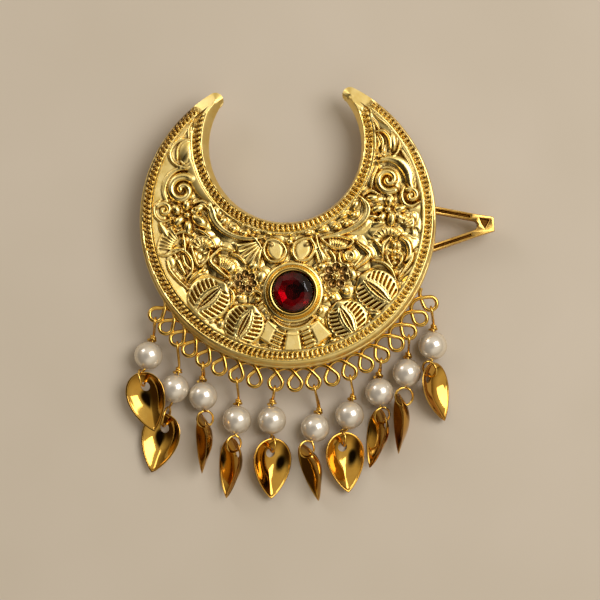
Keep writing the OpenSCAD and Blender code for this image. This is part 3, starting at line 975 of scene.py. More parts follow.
@dataclass(frozen=True)
class Volute(Motif):
    """A scroll: a bar that winds in to its middle, given in the photograph's pixels."""

    at: Point
    size: float
    start: float
    turns: float
    width: tuple[float, float]
    hand: int = 1
    rise: float = 0.6

    def stamp(self, panel: Panel) -> None:
        """Raises the winding bar.

        Args:
            panel: The panel that takes it.
        """
        share = np.linspace(0, 1, max(8, int(abs(self.turns) * 14)))
        ways = compass(self.start + self.hand * 360 * self.turns * share) * [1, -1]
        points = self.at + self.size * (1 - share * 0.86)[:, None] * ways
        Stroke(points, np.interp(share, [0, 1], self.width), self.rise).stamp(panel)


@dataclass(frozen=True)
class Rosette(Motif):
    """A flower: spoon-shaped petals with raised edges round a raised bud, in photo pixels.

    The petals' places, lengths and the bud's size are shares of the flower's size.
    """

    at: Point
    size: float
    petals: int
    turn: float = 0.0
    rise: float = 0.52
    petal_at: float = 0.6
    petal_half: float = 0.4
    bud_r: float = 0.21
    # Share of painted shade laid in the hollow petals.
    dark: float = 0.84

    def stamp(self, panel: Panel) -> None:
        """Raises the petals' edges and the bud and leaves the petals hollow.

        Args:
            panel: The panel that takes it.
        """
        size = self.size * PIXEL_MM
        half = self.petal_half * size
        part, x, y = panel.around(from_photo(*self.at), size)
        radius = np.hypot(x, y)
        step = 360 / self.petals
        aside = (np.degrees(np.arctan2(x, y)) - self.turn + step / 2) % step - step / 2
        along = (radius * np.cos(np.radians(aside)) - self.petal_at * size) / half
        width = 0.34 * size * (6.5 / self.petals) ** 0.5
        across = radius * np.sin(np.radians(aside)) / (width * (1 + 0.2 * along.clip(-1, 1)))
        share = np.hypot(along, across)
        spoon = self.rise * (1.35 * share.clip(0, 1) ** 3 - 0.5) * smooth(1.0, 0.9, share)
        bud = radius / (self.bud_r * size)
        lift = 1.05 * self.rise * np.sqrt(np.clip(1 - bud ** 2, 0, 1))
        panel.add(part, np.where(bud < 1, lift, np.where(share < 1, spoon, 0)),
                  np.minimum(share - 1, bud - 1) * half, radius < size)
        # Painted shade in the hollow petals, not on the bud.
        panel.paint_shade(part, self.dark * smooth(0.97, 0.8, share) * smooth(0.95, 1.1, bud))


@dataclass(frozen=True)
class SeedLeaf(Motif):
    """A full leaf in two ribbed halves with an open pod along its middle.

    Tip and foot are the ends of the pod, in the photograph's pixels, as are the widths.
    """

    tip: Point
    foot: Point
    width: float
    gaps: int = 8
    pod: float = 5.6
    slit: float = 2.7
    over: float = 1.32
    lean: float = 0.018
    rise: float = 0.64
    gap_depth: float = 0.46

    def stamp(self, panel: Panel) -> None:
        """Raises the leaf, cuts the gaps between its ribs and opens its pod.

        Args:
            panel: The panel that takes it.
        """
        a, b = from_photo(*self.tip), from_photo(*self.foot)
        half = np.linalg.norm(b - a) / 2
        way = (b - a) / (2 * half)
        reach = max(half * self.over, self.width * PIXEL_MM / 2)
        part, x, y = panel.around((a + b) / 2, reach)
        along = (x * way[0] + y * way[1]) / half
        across = np.abs(-x * way[1] + y * way[0]) / PIXEL_MM
        plump = np.clip(1 - np.abs(along / self.over) ** 2.1, 0, 1) ** 0.6
        share = across / np.maximum(self.width / 2 * plump, 0.01)
        lift = self.rise * np.sqrt(np.clip(1 - share ** 2.4, 0, 1))
        taper = np.clip(1 - along ** 2, 0, 1)
        rib = (across - self.pod * taper - 2.2) / 1.2
        zone = smooth(0.0, 1.0, rib) * smooth(0.88, 0.78, share) * smooth(1.0, 0.88, np.abs(along))
        fan = along * (1 - 0.008 * across) + self.lean * across
        gap = smooth(0.34, 0.7, 0.5 + 0.5 * np.cos(math.pi * self.gaps * fan))
        lift -= self.gap_depth * gap * zone
        pod = across / np.maximum(self.pod * taper, 0.01)
        lift = np.where(pod < 1, 0.5 + 0.26 * np.sqrt(np.clip(1 - (2 * pod - 1) ** 2, 0, 1)), lift)
        slit = across / np.maximum(self.slit * taper, 0.01)
        lift = np.where(slit < 1, 0.2 + 0.25 * smooth(0.55, 0.0, slit), lift)
        away = (np.minimum(share, 4) - 1) * self.width / 2 * PIXEL_MM
        panel.add(part, np.where(share < 1, lift, 0), away, share < 1)


@dataclass(frozen=True)
class RibbedFan(Motif):
    """A shell: rounded ribs side by side that spread from a point, in the photograph's pixels."""

    at: Point
    inner: float
    outer: float
    start: float
    stop: float
    ribs: int
    rise: float = 0.55
    edge: bool = True

    def stamp(self, panel: Panel) -> None:
        """Raises the shell and, if it has one, the bar round its edge.

        Args:
            panel: The panel that takes it.
        """
        part, x, y = panel.around(from_photo(*self.at), (self.outer + 2) * PIXEL_MM)
        radius = np.hypot(x, y) / PIXEL_MM
        low, high = sorted((self.start, self.stop))
        centre, length = (low + high) / 2, self.outer - self.inner
        angle = (np.degrees(np.arctan2(x, y)) - centre + 180) % 360 - 180 + centre
        turn = (angle - low) / (high - low)
        share = (radius - self.inner) / length
        ribs = np.abs(np.sin(math.pi * self.ribs * turn)) ** 0.7
        swell = np.clip(np.sin(math.pi * np.clip(share, 0, 1)), 0, 1) ** 0.4
        inside = (turn > 0) & (turn < 1) & (share > 0) & (share < 1)
        past_ends = (np.abs(share - 0.5) - 0.5) * length
        past_sides = (np.abs(turn - 0.5) - 0.5) * math.radians(high - low) * radius
        panel.add(part, np.where(inside, self.rise * swell * (0.22 + 0.78 * ribs), 0),
                  np.maximum(past_ends, past_sides) * PIXEL_MM)
        if self.edge:
            ways = compass(np.linspace(self.start, self.stop, 9)) * [1, -1]
            Stroke(self.at + (self.outer + 0.6) * ways, (1.6, 2.2, 1.6),
                   self.rise * 0.9).stamp(panel)


@dataclass(frozen=True)
class Keystone(Motif):
    """A smooth wedge below the setting, between two angles from the setting's centre, in degrees.

    The radii and the width of its rounded edge are in the photograph's pixels.
    """

    low: float
    high: float
    inner: float
    outer: float
    rise: float = 0.42
    edge: float = 1.6

    def stamp(self, panel: Panel) -> None:
        """Raises the wedge with rounded edges.

        Args:
            panel: The panel that takes it.
        """
        part, x, y = panel.around(from_photo(*SETTING_PIXEL), self.outer * PIXEL_MM)
        radius = np.hypot(x, y) / PIXEL_MM
        angle = np.degrees(np.arctan2(x, y)) % 360
        to_side = np.radians(np.minimum(angle - self.low, self.high - angle)) * radius
        inset = np.minimum(np.minimum(radius - self.inner, self.outer - radius), to_side)
        lift = self.rise * np.clip(inset / self.edge, 0, 1) ** 0.5
        panel.add(part, np.where(inset > 0, lift, 0), -inset * PIXEL_MM)
        panel.dull(part, smooth(0.0, 1.5, inset))


# Motifs of the relief, region by region, with their places and sizes in the photograph's pixels

LEFT_HORN: list[Motif] = [
    Stroke(((199, 120), (193, 124), (189, 131), (189, 139)), (1.5, 3, 1.5), 0.5),
    Stroke(((178, 142), (184, 137), (188, 130)), (1.5, 2.5, 1.5), 0.45),
    Stroke(((192, 141), (181, 142), (174, 147), (170.5, 155), (173, 163), (181, 169)),
           (2, 4, 4.6, 3), 0.5),
    Stroke(((190, 141.5), (182, 145), (178, 152), (178, 161)), (1.5, 3, 2), 0.62),
    Dome((187, 153), (26, 17), 0.62, 84),
    Stroke(((180, 167), (186, 170), (193, 168)), (2, 3.5, 2), 0.5),
    Stroke(((181, 163), (186, 167), (192, 164)), (1.5, 2.6, 1.5), 0.5),
    Stroke(((190, 171), (180, 170.5), (171, 176), (165.5, 185), (164.5, 195), (168, 204)),
           (2, 4, 4.5, 3), 0.5, Profile.ROLLED),
    Volute((183, 191.5), 14.5, 40, 1.35, (7.6, 5.0), -1, 0.68),
    Stroke(((190, 160), (195, 173), (201, 186), (209, 198), (214, 205)), (3, 12, 14, 10, 3), 0.5,
           matt=True),
    Stroke(((160, 166), (157, 178), (155, 190)), (1.5, 2.5, 1.5), 0.42),
    Stroke(((161, 202), (155.5, 208), (156, 217), (163, 223), (172, 221)), (1.5, 3.2, 3.4, 2), 0.52),
    Volute((165, 211.5), 7.5, -60, 1.1, (5.2, 3.8), 1, 0.62),
    Stroke(((161, 225), (164, 231), (168, 237)), (3, 7, 3), 0.5),
    Stroke(((194, 205), (202, 202.5), (210, 207)), (1.5, 3, 1.5), 0.55),
    Stroke(((197, 209), (203, 206), (210, 212)), (1.5, 3, 1.5), 0.5),
    Dome((200, 222), (18, 10.5), 0.76, -38),
    Dome((189, 228.5), (8.5, 14), 0.7),
    Dome((179.5, 222.5), (13, 8.5), 0.68, 45),
    Dome((177, 211), (8.5, 12), 0.66, 28),
    Dome((187.5, 206.5), (8, 11), 0.64),
    Dome((198, 211), (14, 8), 0.7, 25),
    Dome((188, 216.5), (6.5, 6.5), 0.8),
    Stroke(((210, 204), (211.5, 212), (215, 222), (223, 231), (235, 237.5), (249, 240), (263, 239)),
           (2, 6.5, 6.5, 5.5, 4.5, 3.4, 1.5), 0.68, Profile.ROLLED),
    Dome((224, 222), (9, 7), 0.5, 30),
    Dome((234, 230), (7, 7), 0.5),
    Dome((245, 234.5), (8, 6), 0.5),
    Dome((217, 212), (6, 10), 0.4, 15),
    Dome((243, 225), (7, 5), 0.38, -20),
    Dome((256, 232), (7, 4), 0.4, -8),
    Dome((268, 234), (8, 4), 0.38, -4),
    Stroke(((176, 236), (184, 233), (192, 236)), (2, 3.6, 2), 0.5),
    Stroke(((196, 230), (203, 233), (210, 238)), (2, 3.6, 2), 0.5),
    Hollow((203, 230.5), (7, 3), 0.3, -20),
    Hollow((195, 212), (5, 4), 0.3),
]

RIGHT_HORN: list[Motif] = [
    Stroke(((370, 118), (374, 123), (379, 131)), (1.5, 2.6, 1.5), 0.5),
    Stroke(((374, 115), (380, 121), (389, 127), (397, 134)), (1.5, 3, 3, 1.5), 0.5),
    Stroke(((374, 133), (383, 132.5), (389, 139), (390, 150)), (1.5, 3, 3, 2), 0.62),
    Stroke(((378, 135), (382, 141), (382, 151)), (1.5, 3.4, 2), 0.52),
    Stroke(((376, 152), (379, 146), (377, 138)), (1.5, 2.6, 1.5), 0.45),
    Dome((393, 143), (20, 7.5), 0.66, 94),
    Stroke(((397, 132), (400, 143), (397, 154), (389, 160)), (1.5, 2.6, 2.6, 2), 0.5),
    Stroke(((379, 158), (385, 161), (390, 159)), (1.5, 3, 1.5), 0.5),
    Stroke(((378, 163), (388, 160), (399, 163), (407, 173), (410, 186), (414, 193)),
           (2, 6, 9, 9, 6, 3), 0.56),
    Stroke(((401, 152), (408, 164), (413, 178), (415, 190)), (1.2, 2.2, 1.5), 0.5),
    Volute((388, 181), 12.5, 150, 1.35, (6.6, 4.4), 1, 0.68),
    Stroke(((371, 189), (373, 178), (378, 168)), (1.5, 3, 1.5), 0.48),
    Stroke(((404, 188), (401, 197), (404, 205), (411, 207.5), (418, 204)), (2, 4.4, 4, 2), 0.56),
    Volute((411, 197), 7, -30, 1.1, (5.0, 3.6), 1, 0.64),
    Dome((372, 199), (12, 7), 0.52, 0),
    Stroke(((363, 197), (370, 192), (379, 196)), (1.5, 3.2, 1.5), 0.55),
    Dome((391, 220), (8.5, 16), 0.76, -4),
    Dome((377.5, 210), (14, 8.5), 0.7, 20),
    Dome((387.5, 211), (7, 7), 0.8),
    Dome((389, 202.5), (8, 11), 0.66),
    Dome((399.5, 210), (13, 8), 0.68, 15),
    Dome((399, 218.5), (8, 12), 0.62, 35),
    Dome((381, 219), (8, 13), 0.64, -30),
    Dome((373, 218), (9, 4), 0.4, -5),
    Hollow((377, 215), (9, 3), 0.25),
    Hollow((378, 222), (12, 4), 0.3, -10),
    Hollow((401, 222), (7, 4), 0.25, -30),
    Stroke(((386, 196), (391, 198), (393, 201)), (1.5, 3, 2), 0.5),
    Stroke(((361, 199), (366.5, 207), (366, 216), (359, 225), (348, 231.5), (335, 236), (321, 239)),
           (2, 5.5, 6, 5.5, 4.8, 3.4, 1.5), 0.68, Profile.ROLLED),
    Dome((355, 206), (10, 7), 0.46, 60),
    Dome((353, 216), (7, 6), 0.5),
    Dome((346, 225), (7, 6), 0.5),
    Dome((335, 228), (8, 6), 0.5),
    Dome((343, 217), (9, 4), 0.38, 35),
    Dome((322, 231), (9, 4.5), 0.4, 10),
    Dome((308, 234), (8, 4), 0.38, 4),
    RibbedFan((398, 232), 8, 17, 15, 75, 5, 0.46, False),
    RibbedFan((388, 245), 9, 17, -80, 55, 8, 0.44, False),
    Dome((412, 224), (5, 14), 0.4, 0),
]

LOWER_LEFT: list[Motif] = [
    RibbedFan((186, 252), 13, 27, -88, -28, 7, 0.5),
    RibbedFan((203, 251), 3, 12.5, -80, 80, 7, 0.52),
    Stroke(((155, 255), (167, 257), (184, 250)), (2, 3, 2), 0.5),
    Stroke(((184, 236), (185, 243), (186, 252)), (2, 4, 2), 0.56),
    Stroke(((192, 247), (195, 257), (200, 267), (207, 262), (210, 253)), (2, 2.6, 2.6, 2), 0.56),
    Hollow((201, 257), (10, 7), 0.22, 90),
    Stroke(((166, 257), (175, 251), (185, 252), (192, 260), (193, 272), (187, 280)),
           (2, 3.4, 3.4, 2), 0.5),
    Stroke(((176, 256), (180, 264), (186, 275)), (2, 4.5, 2), 0.5),
    Stroke(((184, 257), (186, 265), (191, 270)), (2, 3.4, 2), 0.46),
    Dome((172, 263), (9, 14), 0.44, 20),
    Hollow((178, 258), (5, 9), 0.2, 60),
    Stroke(((168, 262), (171, 271), (179, 281), (189, 290)), (2, 3.6, 3.6, 2), 0.6),
    Stroke(((221, 249), (211, 262), (218, 270), (229, 279)), (2, 4.4, 4.6, 2), 0.66),
    RibbedFan((220, 277), 8, 20, -2, 58, 6, 0.5, False),
    Stroke(((216, 253), (223, 250), (233, 253)), (2, 3, 2), 0.5),
    Stroke(((232, 255), (240, 258), (246, 265)), (2, 3, 2), 0.5),
    Rosette((245.7, 283), 12.5, 7, 0),
    SeedLeaf((222, 288), (197, 311), 44),
    SeedLeaf((252, 311), (237, 340), 41),
    Dome((222, 325), (9, 9), 0.5),
    Dome((213, 322), (7, 5), 0.4, 30),
    Dome((252, 347), (8, 5), 0.4, -10),
    Dome((265, 351), (6, 4), 0.36),
    Stroke(((203, 271), (196, 275), (190, 282)), (1.5, 3, 1.5), 0.5),
    RibbedFan((264, 242), 6, 28, -96, -172, 5, 0.56, False),
    Stroke(((252, 237), (258, 243), (262, 250)), (1.5, 2.6, 1.5), 0.5),
    Stroke(((267, 242), (264, 252), (270, 262), (280, 262), (286, 254), (283, 246), (274, 241),
            (267, 242)), (3, 3.4, 3.4, 3), 0.55),
    Stroke(((274, 246), (275.5, 251), (277, 257)), (11, 16, 9), 0.3, Profile.BAND, 1.0, True),
    # This bead takes painted shade.
    Dome((271.5, 246), (7, 5.5), 0.55, -15, dark=0.6),
    Dome((283, 268), (6, 4), 0.4),
    Hollow((204, 272), (10, 4), 0.25, 35),
    Stroke(((250, 297), (255, 292), (262, 295), (264, 302), (259, 306)), (2, 3.2, 3.2, 2), 0.52),
    Stroke(((227, 288), (233, 293), (234, 301), (230, 308)), (2, 3.4, 3.4, 2), 0.52),
    Dome((262, 278), (10, 13), 0.5, -20),
    Dome((254, 267), (11, 8), 0.5, 30),
    Dome((266, 288), (7, 9), 0.45),
    Dome((231, 285), (9, 7), 0.5, 20),
    Dome((240, 298), (8, 6), 0.45),
    Dome((258, 300), (6, 6), 0.5),
    Dome((268, 302), (7, 8), 0.42),
    Dome((269, 312), (7, 7), 0.42),
    Dome((232, 270), (11, 8), 0.5, 40),
    Dome((205, 322), (8, 5), 0.36, 35),
    Dome((230, 338), (8, 5), 0.36, 25),
    Dome((192, 303), (6, 10), 0.3, 25),
]

LOWER_RIGHT: list[Motif] = [
    Stroke(((311, 240), (315, 249), (309, 260), (299, 262), (293, 254), (295, 245), (304, 240),
            (311, 240)), (3, 3.4, 3.4, 3), 0.55),
    Stroke(((304, 246), (302.5, 251), (301, 257)), (11, 16, 9), 0.3, Profile.BAND, 1.0, True),
    # This bead takes painted shade.
    Dome((306.5, 246), (7, 5.5), 0.55, 20, dark=0.6),
    Dome((290, 243), (7, 7), 0.55),
    Dome((290, 234), (7, 5), 0.45),
    Stroke(((316, 236), (318, 246), (324, 262)), (1.5, 3, 1.5), 0.52),
    RibbedFan((313, 240), 6, 25, 142, 172, 3, 0.48, False),
    Stroke(((321, 240), (334, 238), (346, 239), (353, 243), (345, 249), (333, 249), (321, 240)),
           (2, 2.4, 2.4, 2), 0.55),
    RibbedFan((333, 262), 14, 22, -14, 42, 7, 0.46, False),
    Stroke(((357, 244), (369, 256), (356, 269)), (3, 5, 3), 0.66),
    Dome((349, 257), (12, 12), 0.62, 0, 0.85),
    Stroke(((330, 252), (334, 258), (335, 263)), (2, 3.4, 2), 0.46),
    Stroke(((339, 254), (340, 262), (344, 267)), (2, 3, 2), 0.46),
    Rosette((336, 277), 14, 7, 0),
    Stroke(((389, 239), (383, 246), (382, 256)), (2, 4.4, 2), 0.6),
    Stroke(((400, 239), (407, 244), (409, 256), (405, 262)), (2, 5.5, 4.4, 2), 0.6),
    Stroke(((372, 240), (379, 246), (381, 254)), (1.5, 3, 1.5), 0.48),
    Dome((394, 246), (6, 8), 0.55),
    Dome((394, 253), (6, 6), 0.52),
    Dome((394, 259), (5.5, 5), 0.5),
    Dome((394, 264), (5, 4.6), 0.48),
    Stroke(((386, 256), (388, 262), (392, 268)), (1.5, 2.6, 1.5), 0.46),
    Stroke(((402, 256), (401, 262), (397, 268)), (1.5, 2.6, 1.5), 0.46),
    Stroke(((413, 254), (409, 264), (398, 279)), (2, 4.6, 2), 0.6),
    Stroke(((372, 262), (383, 264), (391, 271), (395, 281)), (1.5, 3.6, 3.4, 1.5), 0.6),
    SeedLeaf((363, 281), (389, 303), 44),
    SeedLeaf((339, 307), (354, 334), 42),
    Dome((375, 315), (12, 12), 0.6),
    Dome((386, 313), (7, 5), 0.42, 20),
    Stroke(((366, 322), (362, 330), (355, 338)), (1.5, 3, 1.5), 0.45),
    Dome((333, 341), (8, 5), 0.4, 15),
    Hollow((389, 258), (4, 6), 0.2),
    Hollow((402, 251), (4, 7), 0.2),
    Dome((323, 289), (8, 9), 0.48),
    Dome((324, 300), (9, 8), 0.5, 20),
    Dome((320, 311), (7, 8), 0.42),
    Dome((332, 298), (8, 7), 0.48, -20),
    Dome((352, 275), (9, 13), 0.52, 25),
    Dome((345, 291), (10, 8), 0.5, -30),
    Dome((322, 268), (10, 8), 0.5, 30),
    Dome((346, 267), (9, 7), 0.5),
    Dome((364, 314), (7, 7), 0.44),
    Dome((343, 345), (7, 5), 0.36, 10),
    Dome((396, 297), (7, 9), 0.34, -30),
    Dome((404, 286), (8, 12), 0.4, -35),
    Dome((317, 343), (8, 7), 0.36, 10),
]


def rungs(side: int) -> list[Motif]:
    """Returns the short slanted bars beside the middle wedge, side being 1 right and -1 left."""
    return [Stroke(((293 + side * (7.94 + 0.33 * down), 331 + down),
                    (293 + side * (14.74 + 0.38 * down), 331 + down - 3)), (3.3, 3.7), 0.5)
            for down in 4.2 * np.arange(6)]


BELOW_SETTING: list[Motif] = [
    Keystone(170.5, 189.5, 37, 60),
    Keystone(137, 155, 36, 57),
    Keystone(204, 222, 36, 57),
    *rungs(1),
    *rungs(-1),
    Stroke(((272, 319), (281, 327), (293, 330), (305, 327), (314, 319)), (2, 4.5, 5, 2), 0.62),
    Stroke(((268, 322), (279, 332), (293, 335.5), (307, 332), (318, 322)), (1.5, 2.4, 1.5), 0.5),
]


@dataclass
class CrescentFront:
    """The cast front: a sloped and milled rim and the relief inside it."""

    shape: CrescentShape = field(default_factory=CrescentShape)
    spacing: float = 0.103
    across: int = 34
    edge_round: float = 0.2
    underside_z: float = 6.9
    ring_half: float = 0.8
    # How much painted shade lies between the ribs, and how much more towards the left.
    ring_painted_shade: float = 0.42
    left_painted_shade: float = 0.28
    collar_r: float = 5.0
    collar_half: float = 0.6
    collar_rise: float = 0.55

    def rim(self) -> None:
        """Builds the rim as one closed sweep round the crescent's outline."""
        shape = self.shape
        edge, reach, on_end = shape.outline(self.spacing)
        share = np.linspace(0, 1, self.across)
        places = edge[:, None, :] + reach[:, None, :] * share[None, :, None]
        x, y = places[..., 0], places[..., 1]
        depth_in = np.linalg.norm(reach, axis=1)[:, None] * share
        z = shape.rim_height(x, y, np.where(on_end[:, None], depth_in, np.inf))
        z[:, 0] = shape.edge_z - self.edge_round
        top = np.stack([x, y, z], axis=-1)
        outer_low, inner, inner_low = top[:, :1].copy(), top[:, -1:].copy(), top[:, -1:].copy()
        outer_low[..., 2] = inner_low[..., 2] = shape.bottom_z
        inner[..., 2] = self.underside_z
        rows = np.concatenate([outer_low, top, inner, inner_low], axis=1)
        faces = ring_faces(*rows.shape[:2])
        points = rows.reshape(-1, 3)
        piece = make_piece("crescent_rim", points, faces, RELIEF_GOLD, Slot.RELIEF,
                           "crescent_front", 60)
        x, y, z = points.T
        # Painted shade: the low places between the ribs get darker, and more so towards the left,
        # away from the window.
        in_ring = np.min(np.abs(shape.beyond_rings(x, y)), axis=0) < self.ring_half
        depth = smooth(shape.rim_z - 0.05, shape.rim_z - 0.28, z) * shape.ribbed(x, y)
        most_shade = self.ring_painted_shade + self.left_painted_shade * smooth(6.0, -12.0, x)
        mark(piece, Mark.PAINTED_SHADE, np.where(in_ring, depth * most_shade, 0.0))
        mark(piece, Mark.SATIN, shape.satin(x, y))

    def relief(self) -> None:
        """Builds the field with its motifs as one height field with a closed underside."""
        shape, panel = self.shape, Panel(self.shape)
        motifs = LEFT_HORN + RIGHT_HORN + LOWER_LEFT + LOWER_RIGHT + BELOW_SETTING
        # Flowers and ribbed leaves come last, because they take their places from the others.
        for motif in sorted(motifs, key=lambda m: isinstance(m, (Rosette, SeedLeaf))):
            motif.stamp(panel)
        inside = np.minimum(*shape.beyond_rings(panel.x, panel.y))
        edge = smooth(shape.ring_end - 0.02, shape.ring_end + 0.25, inside)
        cap = np.minimum(shape.rim_z - 0.3 + 0.2 * (inside > 0.98) + edge, shape.rim_z + 0.35)
        heights = np.minimum(self.collar(panel, panel.heights()), cap)
        kept = inside > shape.ring_end - 0.15
        row, column = np.nonzero(kept[:-1, :-1] & kept[1:, :-1] & kept[:-1, 1:] & kept[1:, 1:])
        corners = [(row, column), (row, column + 1), (row + 1, column + 1), (row + 1, column)]
        used = np.zeros(kept.shape, bool)
        for corner in corners:
            used[corner] = True
        number = np.cumsum(used).reshape(used.shape) - 1
        quads = np.column_stack([number[corner] for corner in corners])
        points, faces = self.close_below(
            np.column_stack([panel.x[used], panel.y[used], heights[used]]), quads)
        piece = make_piece("crescent_relief", points, faces, RELIEF_GOLD, Slot.RELIEF,
                           "crescent_front", None)
        below = np.zeros(len(points) - int(used.sum()))
        # Painted shade in creases and hollows, and on the beads and petals that take it.
        depth = np.maximum(self.painted_crease_shade(heights), panel.dark)
        satin = np.maximum(shape.satin(panel.x, panel.y), panel.matt)
        mark(piece, Mark.PAINTED_SHADE, np.concatenate([depth[used], below]))
        mark(piece, Mark.SATIN, np.concatenate([satin[used], below]))

    def collar(self, panel: Panel, heights: Array) -> Array:
        """Adds the smooth collar round the setting and flattens what the setting covers.

        Args:
            panel: The relief's grid.
            heights: The relief's height at each of its points.

        Returns:
            The changed heights.
        """
        away = np.hypot(panel.x - SETTING_CENTRE[0], panel.y - SETTING_CENTRE[1])
        off = (away - self.collar_r) / self.collar_half
        ring = self.shape.field_z + self.collar_rise * np.sqrt(np.clip(1 - off ** 2, 0, 1))
        covered = np.minimum(heights, self.shape.field_z + 0.1)
        return np.where(np.abs(off) < 1, ring, np.where(off < 1, covered, heights))

    def close_below(self, points: Array, faces: Array) -> Mesh:
        """Adds walls and a flat underside to the relief.

        Args:
            points: Places on the relief's top.
            faces: Its quads, wound upwards.

        Returns:
            Points and faces of the closed mesh.
        """
        pairs = np.vstack([faces[:, [0, 1]], faces[:, [1, 2]], faces[:, [2, 3]], faces[:, [3, 0]]])
        keys = {(int(a), int(b)) for a, b in pairs}
        after = {a: b for a, b in keys if (b, a) not in keys}
        loop = [next(iter(after))]
        while after[loop[-1]] != loop[0]:
            loop.append(after[loop[-1]])
        low = points[loop]
        low[:, 2] = self.underside_z - 0.05
        base, count = len(points), len(loop)
        walls = [[loop[i], base + i, base + (i + 1) % count, loop[(i + 1) % count]]
                 for i in range(count)]
        return np.vstack([points, low]), faces.tolist() + walls + [
            [base + i for i in range(count)][::-1]]

    @staticmethod
    def painted_crease_shade(heights: Array) -> Array:
        """Finds how deep each place lies below what is round it, for the painted shade there.

        Args:
            heights: The relief's height at each point of the grid.

        Returns:
            Shares from 0 to 1, which narrow creases reach and broad hollows stay below.
        """
        passes, narrow_pass = 70, 13
        blurred, narrow = heights, np.zeros(heights.shape)
        for number in range(passes):
            blurred = (blurred + np.roll(blurred, 1, 0) + np.roll(blurred, -1, 0)
                       + np.roll(blurred, 1, 1) + np.roll(blurred, -1, 1)) / 5
            if number == narrow_pass:
                narrow = smooth(0.01, 0.2, blurred - heights)
        return np.maximum(narrow, 0.6 * smooth(0.08, 0.36, blurred - heights))

    def build(self) -> None:
        """Builds the front's pieces."""
        self.rim()
        self.relief()


# Setting and stone

def turned_ring(profile: Sequence[Point], middle: Point, sides: int = 128) -> Mesh:
    """Turns a closed profile round an upright axis.

    Args:
        profile: Radius and height of its corners, in order.
        middle: Where the axis stands.
        sides: Points round it.

    Returns:
        Points and faces.
    """
    turns = np.linspace(0, 2 * math.pi, sides, endpoint=False)
    rings = [np.column_stack([middle[0] + r * np.cos(turns), middle[1] + r * np.sin(turns),
                              np.full(sides, z)]) for r, z in profile]
    return np.vstack(rings), ring_faces(len(profile), sides)


@dataclass
class StoneSetting:
    """The turned cup, and the pressed stone under its lip."""

    at: Point = SETTING_CENTRE
    foot_z: float = 7.45
    outer_r: float = 4.55
    lip_r: float = 3.8
    lip_z: float = 9.2
    lip_round: float = 0.32
    turn_in: Point = (0.22, 0.16)
    stone_gap: float = 0.06
    stone_r: float = 4.0
    table_r: float = 2.2
    star_r: float = 2.7
    star_drop: float = 0.045
    girdle: float = 0.15
    girdle_z: float = 8.5
    table_z: float = 9.6
    pavilion_r: float = 1.5
    pavilion_drop: float = 0.55
    tip_drop: float = 0.58

    def cup(self) -> None:
        """Builds the cup, with its lip rounded outside and turned in over the stone."""
        r, (in_r, in_z) = self.lip_round, self.turn_in
        lip = [(self.outer_r - r + r * math.cos(a), self.lip_z - r + r * math.sin(a))
               for a in np.radians(np.linspace(0, 90, 7))]
        turned_in = [(self.lip_r + in_r - in_r * math.sin(a), self.lip_z - in_z + in_z * math.cos(a))
                     for a in np.radians(np.linspace(0, 90, 6))]
        seat_r, foot_z = self.stone_r + self.stone_gap, self.foot_z
        profile = [(0.02, foot_z), (self.outer_r, foot_z), (self.outer_r, foot_z + 0.25),
                   (self.outer_r - 0.08, foot_z + 0.35), (self.outer_r, foot_z + 0.5),
                   *lip, *turned_in,
                   (self.lip_r, self.lip_z - 0.3), (seat_r, self.lip_z - 0.42),
                   (seat_r, foot_z + 0.9), (self.stone_r - 0.9, foot_z + 0.4),
                   (0.02, foot_z + 0.4)]
        points, faces = turned_ring(profile, self.at)
        make_piece("setting_cup", points, faces, SETTING_GOLD, Slot.PLAIN, "setting", 50)

    def ring(self, count: int, radius: float, z: float, turn: float = 0.0) -> Array:
        """Returns the corners of a ring of facets, clockwise from turn in degrees."""
        flat = np.array(self.at) + radius * compass(turn + np.arange(count) * 360 / count)
        return np.column_stack([flat, np.full(count, z)])

    def stone(self) -> None:
        """Builds the cut stone: table, crown facets, girdle and foiled pavilion."""
        points = np.vstack([
            self.ring(8, self.table_r, self.table_z, 22.5),
            self.ring(8, self.star_r, self.table_z - self.star_drop),
            self.ring(16, self.stone_r, self.girdle_z + self.girdle),
            self.ring(16, self.stone_r, self.girdle_z),
            self.ring(8, self.pavilion_r, self.girdle_z - self.pavilion_drop),
            [[*self.at, self.girdle_z - self.tip_drop]]])
        # Where the rings above start: table, stars, girdle's top and bottom, pavilion and tip.
        t, s, g, b, p, c = 0, 8, 16, 32, 48, 56
        faces: list[list[int]] = [[t + i for i in range(8)]]
        for i in range(8):
            after = (i + 1) % 8
            faces.append([t + i, t + (i - 1) % 8, s + i])
            faces.append([t + i, s + i, g + (2 * i + 1) % 16, s + after])
            faces.append([s + i, g + 2 * i, g + (2 * i + 1) % 16])
            faces.append([s + after, g + (2 * i + 1) % 16, g + (2 * after) % 16])
        for i in range(16):
            after = (i + 1) % 16
            faces.append([g + i, b + i, b + after, g + after])
        foil_from = len(faces)
        for i in range(8):
            after = (i + 1) % 8
            faces.append([b + 2 * i, p + i, b + 2 * i + 1])
            faces.append([b + 2 * i + 1, p + i, p + after])
            faces.append([b + 2 * i + 1, p + after, b + (2 * i + 2) % 16])
            faces.append([p + i, c, p + after])
        # The rings run clockwise, so each face is turned over to look outwards.
        piece = make_piece("ruby_stone", points, [f[::-1] for f in faces], RUBY, Slot.GLASS,
                           "stone", 0.5)
        piece.data.materials.append(FOIL.material())
        for number in range(foil_from, len(piece.data.polygons)):
            piece.data.polygons[number].material_index = 1

    def build(self) -> None:
        """Builds the cup and the stone."""
        self.cup()
        self.stone()


# Drops

@dataclass(frozen=True)
class RingPlace:
    """Where a drop's ring holds its leaf, from the top of the leaf, and the ring's radius."""

    along: float
    above: float
    radius: float


RING_PLAIN = RingPlace(1.08, -0.42, 1.45)
RING_LONG = RingPlace(0.6, -0.5, 1.8)
RING_FLAT = RingPlace(0.98, -0.66, 1.47)
RING_WIDE = RingPlace(0.6, -1.0, 1.62)


